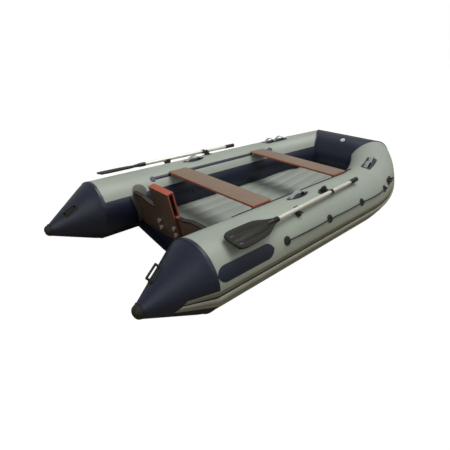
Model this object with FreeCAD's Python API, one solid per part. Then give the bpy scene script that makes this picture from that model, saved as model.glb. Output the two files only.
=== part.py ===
import FreeCAD, Part
import math
import os

from FreeCAD import Placement, Rotation, Vector

# An inflatable boat with an air floor: two side tubes that end aft in tail cones and
# meet forward in a blunt, raised bow, a plywood transom with an adjustable motor riser,
# two sliding plywood benches, and an oar on a rowlock on each side.
#
# Millimetres. While the pieces are made, X = 0 is the stern seam, where the tail cones
# start, +X points to the bow, Y = 0 is the middle plane, +Y is port, and Z = 0 is the
# ground under the tubes. The saved pieces are moved along X so that the middle of the
# length is at X = 0. The port side is made first and mirrored.

os.makedirs("parts", exist_ok=True)

# ---- driving dimensions -------------------------------------------------------------
tube_radius = 225.0           # air tubes, outside
half_track = 600.0            # tube axis from the middle plane
fit_gap = 0.3                 # between faces that are seated on one another

bow_axis_x = 2610.0           # axis of the cross tube at the bow
bow_inset = 300.0             # mitre corners inboard of the side tubes' axes
bow_rise = 100.0              # how much higher the tube axis is there
bow_turn = 40.0               # degrees that the side tube turns in before the mitre

cone_length = 350.0           # tail cone to its theoretical end
cone_end_radius = 33.0
cone_end_drop = 60.0          # axis of the cone's end below the tube axis
cone_cut = 0.97               # share of the cone that is fabric; the cap takes the rest
cap_length = 33.0
cap_proud = 2.5

rake = 14.15                  # degrees, top of the transom leans aft
transom_foot_x = 350.0        # aft face of the transom produced down to Z = 0
transom_thick = 24.0
transom_bottom = 95.0         # heights are vertical, above the ground
transom_cut_top = 338.0       # motor cut-out in the middle of the top edge
transom_top = 366.0
cut_half_width = 190.0
shoulder_inset = 310.0        # corner of the cut-out inboard of the tube's axis

pad_thick = 3.0               # plate that protects the aft face under the riser
pad_half_width = 132.0
pad_bottom = 178.0
edging_thick = 3.0
edging_depth = 11.0

riser_half_width = 112.0
riser_top = 515.0
riser_bottom = 174.0
riser_front_bottom = 190.0
riser_aft_thick = 10.0
riser_front_thick = 12.0
riser_travel = 25.0
riser_cap_height = 14.0
riser_block_half_width = 60.0
bolt_y = 88.0
bolt_heights = (192.0, 250.0)
bolt_radius = 5.0
slot_half_width = 6.0

skin_thick = 6.0
skin_keel = 3.0               # underside of the bottom skin on the middle plane
skin_edge_inset = 175.0       # its edge inboard of the tube's axis
skin_edge = 88.0              # and the height where it meets the tubes
skirt_length = 85.0           # skin that runs on aft of the transom's foot
skirt_keel = 34.0
skirt_edge_inset = 205.0
skirt_edge = 112.0
skin_bend_x = 1750.0
skin_bow_x = 2560.0
skin_bow_rise = 166.0

floor_channels = 7
floor_inset = 194.0           # edge of the air floor inboard of the tube's axis
floor_top = 150.0
floor_thick = 70.0
groove_depth = 14.0
floor_start_x = 360.0
floor_bend_x = 1780.0
floor_end_x = 2520.0
floor_bow_rise = 85.0

bench_inset = 120.0           # bench end inboard of the tube's axis
bench_width = 192.0
bench_thick = 15.0
bench_lift = 6.7              # underside above the tube's skin at the bench's end
bench_aft_x = 730.0           # middle of each bench where it stands
bench_bow_x = 1728.0
bench_corner = 12.0
guide_inset = 151.0           # inner face of a guide inboard of the tube's axis
guide_width = 9.0
guide_height = 17.0
track_start_x = 500.0
track_end_x = 1925.0
track_inner_inset = 140.0     # edges of the track inboard of the tube's axis
track_outer_inset = 120.0
track_thick = 7.5
track_pad_radius = 24.0

strake_angles = (-22.0, 5.0)  # band glued on the tube's outer side, from its axis
strake_band_thick = 3.0
strake_bump_angle = -9.0
strake_bump_half = 4.0
strake_bump_proud = 16.0
strake_aft_share = 0.56       # how far the strake runs on along the cone

eyelet_stations = (602.0, 1085.0, 1540.0, 1940.0)
eyelet_angle = 25.0
eyelet_radius = 30.0
eyelet_thick = 3.0
eyelet_ring_radius = 9.0
eyelet_wire_radius = 3.5
rope_radius = 4.5
rope_height = 12.0
rope_sag = 7.0
rope_knot_radius = 9.0
rope_tail = 26.0

oar_station = 1210.0          # rowlock pin
oar_tilt = 12.0               # degrees outboard of the tube's crown
oar_rest_turn = 2.5           # degrees that the blade lies outboard
oar_offset = 58.0             # shaft axis from the pin
oar_height = 28.0             # shaft axis above the tube at the pin
shaft_radius = 15.0
oar_tip = 1055.0              # blade tip aft of the pin
blade_length = 410.0
blade_half_width = 78.0
blade_thick = 8.0
neck_radius = 18.0
neck_length = 95.0
grip_radius = 17.5
grip_length = 115.0
oar_inboard = 400.0           # end of the grip forward of the pin
pin_radius = 8.0
lock_block_radius = 22.0
lock_knob_radius = 12.0
lock_ring_radius = 20.0
lock_ring_width = 24.0
lock_base_radius = 26.0
lock_base_height = 14.0
lock_patch_half_length = 72.0
lock_patch_half_width = 38.0
lock_patch_thick = 3.0
clip_station = 800.0
clip_gap = 5.0
clip_half_length = 18.0

handle_patch_thick = 3.0
strap_width = 28.0
strap_thick = 4.0
carry_station = 990.0
carry_angle = 95.0
carry_patch = (122.0, 30.0)
carry_arch = (78.0, 38.0)     # half length and height
bow_grip_station = 2125.0
bow_grip_angle = 90.0
bow_grip_patch = (150.0, 48.0)
bow_grip_arch = (60.0, 36.0)
bow_grip_pitch = 140.0

loop_base = (62.0, 28.0)      # half length and half width of a moulded lifting loop
loop_base_thick = 4.0
loop_reach = 44.0
loop_height = 30.0
loop_bar_radius = 7.0
tow_station = 2087.0
tow_angle = 30.0
stern_loop_share = 0.54
stern_loop_angle = 118.0

valve_station = 829.0
valve_angle = 173.0
valve_radius = 24.0
valve_height = 9.0
bow_valve_y = -45.0
bow_valve_angle = 30.0        # degrees aft of the crown
floor_valve_x = 2010.0
floor_valve_y = -174.0
drain_y = -300.0
drain_height = 165.0
drain_radius = 17.0

# ---- worked out from these ----------------------------------------------------------
bow_corner_z = tube_radius + bow_rise
bow_corner_y = half_track - bow_inset
shoulder_y = half_track - shoulder_inset
skin_edge_y = half_track - skin_edge_inset
skirt_edge_y = half_track - skirt_edge_inset
channel_pitch = 2 * (half_track - floor_inset) / floor_channels
bend_reach = math.hypot(half_track - bow_corner_y, bow_rise)
bend_radius = bend_reach / (1 - math.cos(math.radians(bow_turn)))
bend_x = bow_axis_x - bend_radius * math.sin(math.radians(bow_turn))
strake_reach = (tube_radius + strake_bump_proud) * math.cos(math.radians(strake_bump_angle))
bow_end_x = bow_axis_x + strake_reach
stern_end_x = -cone_length * cone_cut - cap_length
middle_x = (bow_end_x + stern_end_x) / 2

ahead = Vector(1, 0, 0)
port = Vector(0, 1, 0)
up = Vector(0, 0, 1)
inward = Vector(0, -(half_track - bow_corner_y), bow_rise)
inward.normalize()
bend_start = Vector(bend_x, half_track, tube_radius)
bend_centre = bend_start + inward * bend_radius
bend_axis = ahead.cross(inward)
corner = Vector(bow_axis_x, bow_corner_y, bow_corner_z)
arrive = ahead * math.cos(math.radians(bow_turn)) + inward * math.sin(math.radians(bow_turn))
leave = Vector(0, -1, 0)
mitre_normal = arrive + leave
mitre_normal.normalize()


def save(name, *solids):
    """Write one piece, or like pieces that don't touch, as one STEP file."""
    shape = solids[0] if len(solids) == 1 else Part.makeCompound(list(solids))
    shape = shape.copy()
    shape.translate(Vector(-middle_x, 0, 0))
    shape.exportStep("parts/" + name + ".step")
    print(name, len(shape.Solids), "solid(s)", round(shape.Volume / 1e6, 2), "dm3", shape.isValid())


def mirrored(shape):
    """The same piece on the other side of the boat."""
    return shape.mirror(Vector(0, 0, 0), port)


def save_pair(name, *solids):
    """Write a port piece and its starboard mirror image as two nodes."""
    save(name + "_port", *solids)
    save(name + "_starboard", *[mirrored(solid) for solid in solids])


def save_both(name, *solids):
    """Write small port pieces and their mirror images together as one node."""
    save(name, *solids, *[mirrored(solid) for solid in solids])


def block(x0, x1, y0, y1, z0, z1):
    """A box between two corners."""
    return Part.makeBox(x1 - x0, y1 - y0, z1 - z0, Vector(x0, y0, z0))


def face(points):
    """A flat face through the points, in order."""
    return Part.Face(Part.makePolygon(list(points) + [points[0]]))


def half_space(origin, normal, size=12000.0):
    """A large block on the side of a plane that its normal points to."""
    cube = Part.makeBox(size, size, size, Vector(-size / 2, -size / 2, 0))
    cube.Placement = Placement(origin, Rotation(Vector(0, 0, 1), normal))
    return cube


# ---- the line of the tubes ----------------------------------------------------------
def tube_frame(station, angle):
    """Point on the port tube, the direction along it and the outward normal there.

    The angle is about the tube axis: 0 is straight outboard and 90 is the crown.
    """
    if station <= bend_x:
        centre = Vector(station, half_track, tube_radius)
        along = Vector(1, 0, 0)
    else:
        turn = (station - bend_x) / bend_radius
        centre = bend_start + ahead * (bend_radius * math.sin(turn))
        centre = centre + inward * (bend_radius * (1 - math.cos(turn)))
        along = ahead * math.cos(turn) + inward * math.sin(turn)
    rise = up - along * up.dot(along)
    rise.normalize()
    outboard = rise.cross(along)
    radians = math.radians(angle)
    normal = outboard * math.cos(radians) + rise * math.sin(radians)
    return centre + normal * tube_radius, along, normal


def on_tube(shape, station, angle):
    """Seat a shape, made about the origin with Z outward and X along the tube."""
    point, along, normal = tube_frame(station, angle)
    placed = shape.copy()
    seat = Placement(point, Rotation(along, Vector(), normal, "ZXY"))
    placed.Placement = seat.multiply(placed.Placement)
    return placed


def run_along(section, start_x):
    """Sweep a port section, drawn at the start of the bend, along the port tube.

    Returns the straight stretch, the bent stretch up to the mitre, and the whole cross
    stretch between the two mitres.
    """
    straight = section.extrude(Vector(start_x - bend_x, 0, 0))
    bent = section.revolve(bend_centre, bend_axis, bow_turn)
    end_section = section.copy()
    end_section.rotate(bend_centre, bend_axis, bow_turn)
    end_section.translate(arrive * -bow_corner_y * 1.6)
    prism = end_section.extrude(arrive * bow_corner_y * 3.2)
    beyond = half_space(corner, mitre_normal)
    tail = end_section.copy()
    tail.translate(arrive * bow_corner_y * 1.6)
    tail = tail.extrude(arrive * bow_corner_y * 1.6)
    bent = bent.fuse(tail).cut(beyond)
    if len(bent.Solids) == 1:
        bent = bent.Solids[0]
    half_cross = prism.mirror(corner, mitre_normal).common(beyond)
    half_cross = half_cross.common(half_space(Vector(0, 0, 0), port))
    cross = half_cross.fuse(mirrored(half_cross)).removeSplitter()
    return straight, bent, cross.Solids[0]


def ring_section(radius):
    """A round section about the tube axis at the start of the bend."""
    circle = Part.makeCircle(radius, bend_start, ahead)
    return Part.Face(Part.Wire([circle]))


def cone_between(share_from, share_to, grow=0.0):
    """The fabric tail cone between two shares of its length."""
    wires = []
    for share in (share_from, share_to):
        radius = tube_radius + (cone_end_radius - tube_radius) * share + grow
        centre = Vector(-cone_length * share, half_track, tube_radius - cone_end_drop * share)
        wires.append(Part.Wire([Part.makeCircle(radius, centre, ahead)]))
    return Part.makeLoft(wires, True, True)


tube_straight, tube_bow, tube_cross = run_along(ring_section(tube_radius), 0.0)
save_pair("side_tube", tube_straight)
save_pair("bow_tube", tube_bow)
save("bow_cross_tube", tube_cross)

seat_straight, seat_bow, seat_cross = run_along(ring_section(tube_radius + fit_gap), 0.0)
seats = [seat_straight, seat_bow, seat_cross, mirrored(seat_straight), mirrored(seat_bow)]


def cut_by(shape, others):
    """Cut a shape by each of the others and return its largest solid."""
    for other in others:
        shape = shape.cut(other)
    return max(shape.Solids, key=lambda solid: solid.Volume)


def shell_about(station, reach, grow):
    """A stretch of the tube's outside, grown, to trim a patch to an even thickness."""
    if station + reach <= bend_x:
        centre = Vector(station - reach, half_track, tube_radius)
        return Part.makeCylinder(tube_radius + grow, 2 * reach, centre, ahead)
    point, along, normal = tube_frame(max(station - reach, bend_x), 0.0)
    centre = point - normal * tube_radius
    circle = Part.Face(Part.Wire([Part.makeCircle(tube_radius + grow, centre, along)]))
    sweep = math.degrees((station + reach - max(station - reach, bend_x)) / bend_radius)
    return circle.revolve(bend_centre, bend_axis, sweep)


# ---- tail cones and their rubber caps -----------------------------------------------
cone = cone_between(0.0, cone_cut)
save_pair("tail_cone", cone)
cone_seat = cone_between(0.0, cone_cut, fit_gap)

cap_radius = tube_radius + (cone_end_radius - tube_radius) * cone_cut + cap_proud
cap_z = tube_radius - cone_end_drop * cone_cut
cap_x = -cone_length * cone_cut
nose_radius = cap_radius * 0.62
cap = Part.makeCone(cap_radius, nose_radius, cap_length, Vector(cap_x, half_track, cap_z), ahead * -1)
nose_edges = [edge for edge in cap.Edges if edge.Closed and edge.CenterOfMass.x < cap_x - cap_length * 0.9]
cap = cap.makeFillet(nose_radius * 0.6, nose_edges)
save_pair("cone_cap", cap)


# ---- rubbing strake -----------------------------------------------------------------
def strake_point(radius, angle):
    """A point on the section plane at the start of the bend."""
    radians = math.radians(angle)
    return bend_start + port * (radius * math.cos(radians)) + up * (radius * math.sin(radians))


def strake_arc(radius, angle_from, angle_to):
    """An arc about the tube axis on the section plane."""
    middle = (angle_from + angle_to) / 2
    ends = strake_point(radius, angle_from), strake_point(radius, angle_to)
    return Part.Arc(ends[0], strake_point(radius, middle), ends[1]).toShape()


seat_r = tube_radius + fit_gap
band_r = tube_radius + strake_band_thick
low, high = strake_angles
bump_low = strake_bump_angle - strake_bump_half
bump_high = strake_bump_angle + strake_bump_half
strake_wire = Part.Wire([
    strake_arc(seat_r, low, high),
    Part.makeLine(strake_point(seat_r, high), strake_point(band_r, high)),
    strake_arc(band_r, high, bump_high),
    Part.Arc(
        strake_point(band_r, bump_high),
        strake_point(tube_radius + strake_bump_proud, strake_bump_angle),
        strake_point(band_r, bump_low),
    ).toShape(),
    strake_arc(band_r, bump_low, low),
    Part.makeLine(strake_point(band_r, low), strake_point(seat_r, low)),
])
strake_straight, strake_bow, strake_cross = run_along(Part.Face(strake_wire), 0.0)


def cone_strake_wire(share):
    """The strake's section on the cone, where it shrinks with the cone's radius."""
    scale = 1 + (cone_end_radius / tube_radius - 1) * share
    wire = strake_wire.copy()
    wire.translate(bend_start * -1)
    matrix = FreeCAD.Matrix()
    matrix.scale(1, scale, scale)
    wire = wire.transformGeometry(matrix)
    centre = Vector(-cone_length * share, half_track, tube_radius - cone_end_drop * share)
    wire.translate(centre)
    return wire


strake_cone = Part.makeLoft([cone_strake_wire(0.0), cone_strake_wire(strake_aft_share)], True, True)
strake_cone = strake_cone.cut(cone_seat).Solids[0]
save_pair("rub_strake", strake_straight)
save_pair("rub_strake_bow", strake_bow)
save_both("rub_strake_tails", strake_cone)
save("rub_strake_cross", strake_cross)


# ---- transom ------------------------------------------------------------------------
lean = math.cos(math.radians(rake))


def raked(shape):
    """Lean a shape that was made on the plane X = 0 back to the transom's rake."""
    leaned = shape.copy()
    leaned.rotate(Vector(0, 0, 0), port, -rake)
    leaned.translate(Vector(transom_foot_x, 0, 0))
    return leaned


def board(outline, from_x, to_x):
    """A board from an outline of (y, height) points, before it is leaned back."""
    flat = face([Vector(from_x, y, height / lean) for y, height in outline])
    return flat.extrude(Vector(to_x - from_x, 0, 0))


def both_sides(half):
    """A full outline from its port half, given from the middle outward and back."""
    return half + [(-y, height) for y, height in reversed(half) if y > 0]


transom_outline = both_sides([
    (0.0, transom_cut_top),
    (cut_half_width, transom_cut_top),
    (shoulder_y, transom_top),
    (half_track - tube_radius * 0.5, transom_top),
    (half_track - tube_radius * 0.5, transom_bottom),
    (0.0, transom_bottom),
])
transom_plain = raked(board(transom_outline, 0.0, transom_thick))
transom = cut_by(transom_plain, [seat_straight, mirrored(seat_straight)])


def bolt_rod(radius, from_x, to_x, y, height):
    """A rod through the transom, square to it."""
    rod = Part.makeCylinder(radius, to_x - from_x, Vector(from_x, y, height / lean), ahead)
    return raked(rod)


for side in (1, -1):
    for height in bolt_heights:
        rod = bolt_rod(bolt_radius + fit_gap, -60.0, 90.0, side * bolt_y, height)
        transom = transom.cut(rod)
drain_hole = bolt_rod(drain_radius + fit_gap, -60.0, 90.0, drain_y, drain_height)
transom = transom.cut(drain_hole).Solids[0]
save("transom", transom)

pad = board([
    (-pad_half_width, pad_bottom + 14),
    (-pad_half_width + 14, pad_bottom),
    (pad_half_width - 14, pad_bottom),
    (pad_half_width, pad_bottom + 14),
    (pad_half_width, transom_cut_top),
    (-pad_half_width, transom_cut_top),
], -pad_thick, 0.0)
pad = raked(pad)
for side in (1, -1):
    for height in bolt_heights:
        rod = bolt_rod(bolt_radius + fit_gap, -60.0, 90.0, side * bolt_y, height)
        pad = pad.cut(rod)
save("transom_pad", pad.Solids[0])

edging_end_y = half_track - math.sqrt(tube_radius ** 2 - (transom_top - tube_radius) ** 2) - 6
edging_outline = [
    (pad_half_width + 8, transom_cut_top + edging_thick),
    (cut_half_width - 2, transom_cut_top + edging_thick),
    (shoulder_y - 2, transom_top + edging_thick),
    (edging_end_y, transom_top + edging_thick),
    (edging_end_y, transom_top - edging_depth),
    (shoulder_y + 3, transom_top - edging_depth),
    (cut_half_width + 3, transom_cut_top - edging_depth),
    (pad_half_width + 8, transom_cut_top - edging_depth),
]
edging = raked(board(edging_outline, -edging_thick, transom_thick + edging_thick))
edging = cut_by(edging, [transom_plain, seat_straight])
save("transom_edging", edging, mirrored(edging))

flange_shell = Part.makeCylinder(tube_radius + 6, 400, Vector(180, half_track, tube_radius), ahead)
flange_shell = flange_shell.cut(seat_straight)
flanges = []
flange_zones = (
    (-38.0, -fit_gap, skirt_edge + skin_thick + 4),
    (transom_thick + fit_gap, transom_thick + 38.0, floor_top + 4),
)
for from_x, to_x, low_z in flange_zones:
    zone = raked(board([
        (half_track - tube_radius - 10, low_z),
        (half_track - 60, low_z),
        (half_track - 60, transom_top - 14),
        (half_track - tube_radius - 10, transom_top - 14),
    ], from_x, to_x))
    flanges.append(flange_shell.common(zone).Solids[0])
save_both("transom_flanges", *flanges)

plug_flange = bolt_rod(drain_radius + 8, -6.0, 0.0, drain_y, drain_height)
plug_stem = bolt_rod(drain_radius, -0.1, transom_thick, drain_y, drain_height)
plug_v = drain_height / lean
plug_grip = raked(block(-16, -5.9, drain_y - 12, drain_y + 12, plug_v - 4, plug_v + 4))
save("drain_plug", plug_flange.fuse([plug_stem, plug_grip]).removeSplitter().Solids[0])


# ---- bottom skin, skirt and the panel that closes the stern -------------------------
def skin_section(x, keel, edge_y, edge):
    """The V-shaped section of the bottom skin, as a closed wire."""
    points = [
        Vector(x, -edge_y, edge),
        Vector(x, 0, keel),
        Vector(x, edge_y, edge),
        Vector(x, edge_y, edge + skin_thick),
        Vector(x, 0, keel + skin_thick),
        Vector(x, -edge_y, edge + skin_thick),
    ]
    return Part.makePolygon(points + [points[0]])


skin_foot_x = transom_foot_x - transom_bottom * math.tan(math.radians(rake))
skin_wire = skin_section(skin_foot_x, skin_keel, skin_edge_y, skin_edge)
skin_flat = Part.Face(skin_wire).extrude(Vector(skin_bend_x - skin_foot_x, 0, 0))
skin_bow_wire = skin_section(skin_bend_x, skin_keel, skin_edge_y, skin_edge)
skin_bow = Part.Face(skin_bow_wire).extrude(Vector(skin_bow_x - skin_bend_x, 0, skin_bow_rise))
skirt_end = skin_section(skin_foot_x - skirt_length, skirt_keel, skirt_edge_y, skirt_edge)
skirt = Part.makeLoft([skin_wire, skirt_end], True, True)
save("bottom_skin", cut_by(skin_flat, seats))
save("bottom_skin_bow", cut_by(skin_bow, seats))
save("stern_skirt", cut_by(skirt, seats))

panel_gap = skin_thick + 1.0
panel_outline = both_sides([
    (0.0, transom_bottom - fit_gap),
    (skin_edge_y - 20, transom_bottom - fit_gap),
    (0.0, skin_keel + panel_gap),
])
panel_outline = panel_outline[:3] + panel_outline[4:]
panel = raked(board(panel_outline, 0.0, skin_thick))
panel = cut_by(panel, [seat_straight, mirrored(seat_straight), skin_flat, skirt])
save("stern_panel", panel)


# ---- air floor ----------------------------------------------------------------------
def floor_section():
    """The scalloped section of the air floor, as a face."""
    edges = []
    first_y = -floor_channels * channel_pitch / 2
    weld_top = floor_top - groove_depth
    weld_low = floor_top - floor_thick + groove_depth
    for index in range(floor_channels):
        y0 = first_y + index * channel_pitch
        y1 = y0 + channel_pitch
        crown = Vector(floor_start_x, (y0 + y1) / 2, floor_top)
        start = Vector(floor_start_x, y0, weld_top)
        end = Vector(floor_start_x, y1, weld_top)
        edges.append(Part.Arc(start, crown, end).toShape())
    last_y = -first_y
    last_top = Vector(floor_start_x, last_y, weld_top)
    edges.append(Part.makeLine(last_top, Vector(floor_start_x, last_y, weld_low)))
    for index in range(floor_channels):
        y0 = last_y - index * channel_pitch
        y1 = y0 - channel_pitch
        belly = Vector(floor_start_x, (y0 + y1) / 2, floor_top - floor_thick)
        start = Vector(floor_start_x, y0, weld_low)
        end = Vector(floor_start_x, y1, weld_low)
        edges.append(Part.Arc(start, belly, end).toShape())
    first_low = Vector(floor_start_x, first_y, weld_low)
    edges.append(Part.makeLine(first_low, Vector(floor_start_x, first_y, weld_top)))
    return Part.Face(Part.Wire(edges))


floor_face = floor_section()
floor_flat = floor_face.extrude(Vector(floor_bend_x - floor_start_x, 0, 0))
floor_bow_face = floor_face.copy()
floor_bow_face.translate(Vector(floor_bend_x - floor_start_x, 0, 0))
floor_bow = floor_bow_face.extrude(Vector(floor_end_x - floor_bend_x, 0, floor_bow_rise))
floor_flat = cut_by(floor_flat, seats + [skin_flat, skin_bow])
floor_bow = cut_by(floor_bow, seats + [skin_flat, skin_bow])
save("air_floor", floor_flat)
save("air_floor_bow", floor_bow)


# ---- benches on their tracks --------------------------------------------------------
bench_half_length = half_track - bench_inset
bench_underside = tube_radius + math.sqrt(tube_radius ** 2 - bench_inset ** 2) + bench_lift
guide_y = half_track - guide_inset
track_inner_y = half_track - track_inner_inset
track_outer_y = half_track - track_outer_inset


def track_profile(x):
    """Section of the bench track, a strip on the tube's upper inner side."""
    def lifted(y, lift):
        offset = half_track - y
        radius = tube_radius + lift
        return Vector(x, y, tube_radius + math.sqrt(radius ** 2 - offset ** 2))
    seat_in = lifted(track_inner_y, fit_gap)
    seat_out = lifted(track_outer_y, fit_gap)
    top_in = lifted(track_inner_y + 2, track_thick)
    top_out = lifted(track_outer_y - 3, track_thick)
    limit = bench_underside - fit_gap
    top_out.z = min(top_out.z, limit)
    return face([seat_in, top_in, top_out, seat_out])


track_straight_end = bench_bow_x + bench_width / 2 + 2
track_joint = 15.0
track = track_profile(track_start_x).extrude(Vector(track_straight_end - track_start_x, 0, 0))
track = cut_by(track, [seat_straight, seat_bow])
track_bend = track_profile(bend_x)
track_bend_start = math.degrees((track_straight_end + track_joint - bend_x) / bend_radius)
track_bend.rotate(bend_centre, bend_axis, track_bend_start)
track_sweep = math.degrees((track_end_x - track_straight_end - track_joint) / bend_radius)
track_bend = track_bend.revolve(bend_centre, bend_axis, track_sweep)
tracks = [track, cut_by(track_bend, [seat_bow])]
track_middle_y = (track_inner_y + track_outer_y) / 2
track_angle = math.degrees(math.acos((track_middle_y - half_track) / tube_radius))
for station in (track_start_x - track_pad_radius - 1, track_end_x + track_pad_radius + 4):
    disc = on_tube(Part.makeCylinder(track_pad_radius, 22, Vector(0, 0, -12)), station, track_angle)
    disc = disc.common(shell_about(station, 40, track_thick - 2))
    tracks.append(cut_by(disc, [seat_straight, seat_bow]))
save_pair("bench_track", *tracks)

for name, centre_x in (("bench_aft", bench_aft_x), ("bench_bow", bench_bow_x)):
    top = bench_underside + bench_thick
    plank = block(
        centre_x - bench_width / 2, centre_x + bench_width / 2,
        -bench_half_length, bench_half_length, bench_underside, top,
    )
    corners = [edge for edge in plank.Edges if abs(edge.Vertexes[0].Z - edge.Vertexes[1].Z) > 1]
    plank = plank.makeFillet(bench_corner, corners)
    save(name, plank)
    guide = block(
        centre_x - bench_width / 2 + 16, centre_x + bench_width / 2 - 16,
        guide_y, guide_y + guide_width, bench_underside - guide_height, bench_underside,
    )
    save(name + "_guides", guide, mirrored(guide))


# ---- motor riser that slides on the transom -----------------------------------------
def slotted(plate):
    """Cut the two upright slots that the clamping bolts pass through."""
    for side in (1, -1):
        low_v = bolt_heights[0] / lean - bolt_radius - 1
        high_v = bolt_heights[1] / lean + bolt_radius + 1 + riser_travel
        slot = block(
            -60, 90, side * bolt_y - slot_half_width, side * bolt_y + slot_half_width,
            low_v + slot_half_width - bolt_radius, high_v - slot_half_width + bolt_radius,
        )
        ends = []
        for v in (low_v + slot_half_width - bolt_radius, high_v - slot_half_width + bolt_radius):
            ends.append(Part.makeCylinder(slot_half_width, 150, Vector(-60, side * bolt_y, v), ahead))
        plate = plate.cut(slot.fuse(ends))
    return plate


aft_x1 = -pad_thick - fit_gap
aft_x0 = aft_x1 - riser_aft_thick
front_x0 = transom_thick + fit_gap
front_x1 = front_x0 + riser_front_thick


def riser_plate(bottom, x0, x1):
    """One upright plywood plate of the riser, with rounded top corners."""
    plate = board([
        (-riser_half_width, bottom),
        (riser_half_width, bottom),
        (riser_half_width, riser_top),
        (-riser_half_width, riser_top),
    ], x0, x1)
    return raked(slotted(plate))


save("riser_aft_plate", riser_plate(riser_bottom, aft_x0, aft_x1).Solids[0])
save("riser_front_plate", riser_plate(riser_front_bottom, front_x0, front_x1).Solids[0])
riser_block_bottom = transom_cut_top + edging_thick + riser_travel + 8
riser_cap = board([
    (-riser_half_width, riser_top - riser_cap_height),
    (riser_half_width, riser_top - riser_cap_height),
    (riser_half_width, riser_top),
    (-riser_half_width, riser_top),
], aft_x1, front_x0)
riser_filler = board([
    (-riser_block_half_width, riser_block_bottom),
    (riser_block_half_width, riser_block_bottom),
    (riser_block_half_width, riser_top - riser_cap_height),
    (-riser_block_half_width, riser_top - riser_cap_height),
], aft_x1, front_x0)
save("riser_spacer", raked(riser_cap.fuse(riser_filler).removeSplitter()).Solids[0])

bolts = []
for side in (1, -1):
    for height in bolt_heights:
        y = side * bolt_y
        shank = bolt_rod(bolt_radius, aft_x0 - 18, front_x1 + 8, y, height)
        washer = bolt_rod(bolt_radius + 5, aft_x0 - 2.5, aft_x0 - fit_gap, y, height)
        nut = bolt_rod(bolt_radius + 3, aft_x0 - 12, aft_x0 - 2.4, y, height)
        head = bolt_rod(bolt_radius + 4, front_x1 + fit_gap, front_x1 + 6, y, height)
        wing = raked(block(aft_x0 - 22, aft_x0 - 6, y - 2, y + 2, height / lean - 17, height / lean + 17))
        bolts.append(shank.fuse([washer, nut, head, wing]).removeSplitter().Solids[0])
save("riser_bolts", *bolts)


# ---- moulded loops and strap handles ------------------------------------------------
def moulded_loop():
    """A rubber lifting loop on an oblong base, about the origin with Z outward."""
    half_length, half_width = loop_base
    base = block(-half_length, half_length, -half_width, half_width, -10, loop_base_thick)
    corners = [edge for edge in base.Edges if abs(edge.Vertexes[0].Z - edge.Vertexes[1].Z) > 1]
    base = base.makeFillet(half_width * 0.8, corners)
    bar = Part.makeCylinder(loop_bar_radius, 2 * loop_reach, Vector(-loop_reach, 0, loop_height), ahead)
    posts = []
    for end in (-1, 1):
        post = Part.makeCylinder(loop_bar_radius, loop_height, Vector(end * loop_reach, 0, 0))
        posts.append(post)
        posts.append(Part.makeSphere(loop_bar_radius, Vector(end * loop_reach, 0, loop_height)))
    return base.fuse([bar] + posts)


def arch(half_length, height):
    """A strap bent to a low arch over a patch, about the origin with Z outward."""
    outer_radius = (half_length ** 2 + height ** 2) / (2 * height)
    centre = Vector(0, -strap_width / 2, height - outer_radius)
    outer = Part.makeCylinder(outer_radius, strap_width, centre, port)
    inner = Part.makeCylinder(outer_radius - strap_thick, strap_width, centre, port)
    keep = block(-half_length * 2, half_length * 2, -strap_width, strap_width, -4, height + 1)
    return outer.cut(inner).common(keep)


def patch(half_length, half_width, thick):
    """A lozenge patch with rounded ends, thick enough to be trimmed to the tube."""
    base = block(-half_length, half_length, -half_width, half_width, -24, thick)
    corners = [edge for edge in base.Edges if abs(edge.Vertexes[0].Z - edge.Vertexes[1].Z) > 1]
    return base.makeFillet(half_width * 0.9, corners)


def strap_handle(station, angle, patch_size, arch_size, arch_places):
    """A fabric patch glued on the tube with one or more strap arches on it."""
    half_length, half_width = patch_size
    base = on_tube(patch(half_length, half_width, 12.0), station, angle)
    base = base.common(shell_about(station, half_length + 10, handle_patch_thick))
    arches = []
    for place in arch_places:
        strap = arch(*arch_size)
        strap.translate(Vector(place, 0, 0))
        arches.append(on_tube(strap, station, angle))
    whole = base.fuse(arches)
    return cut_by(whole, [seat_straight, seat_bow])


save_pair("carry_handle", strap_handle(carry_station, carry_angle, carry_patch, carry_arch, (0.0,)))
grip_places = (-bow_grip_pitch / 2, bow_grip_pitch / 2)
save_pair(
    "bow_grips",
    strap_handle(bow_grip_station, bow_grip_angle, bow_grip_patch, bow_grip_arch, grip_places),
)

tow_loop = on_tube(moulded_loop(), tow_station, tow_angle)
save_both("bow_loops", cut_by(tow_loop, [seat_bow]))

loop_centre = Vector(
    -cone_length * stern_loop_share, half_track, tube_radius - cone_end_drop * stern_loop_share
)
loop_r = tube_radius + (cone_end_radius - tube_radius) * stern_loop_share
loop_radians = math.radians(stern_loop_angle)
loop_side = port * math.cos(loop_radians) + up * math.sin(loop_radians)
cone_edge_near = Vector(0, half_track, tube_radius) + loop_side * tube_radius
cone_edge_far = Vector(-cone_length, half_track, tube_radius - cone_end_drop) + loop_side * cone_end_radius
loop_along = cone_edge_near - cone_edge_far
loop_along.normalize()
loop_normal = loop_side - loop_along * loop_side.dot(loop_along)
loop_normal.normalize()
stern_loop = moulded_loop()
stern_loop.Placement = Placement(
    loop_centre + loop_side * loop_r, Rotation(loop_along, Vector(), loop_normal, "ZXY")
)
save_both("stern_loops", cut_by(stern_loop, [cone_seat]))


# ---- valves -------------------------------------------------------------------------
def valve_body():
    """A round valve with a raised cap, about the origin with Z outward."""
    rim = Part.makeCylinder(valve_radius, 12 + 4, Vector(0, 0, -12))
    cap_disc = Part.makeCylinder(valve_radius * 0.68, valve_height + 6, Vector(0, 0, -6))
    return rim.fuse(cap_disc)


save_both("side_valves", cut_by(on_tube(valve_body(), valve_station, valve_angle), [seat_straight]))

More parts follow.
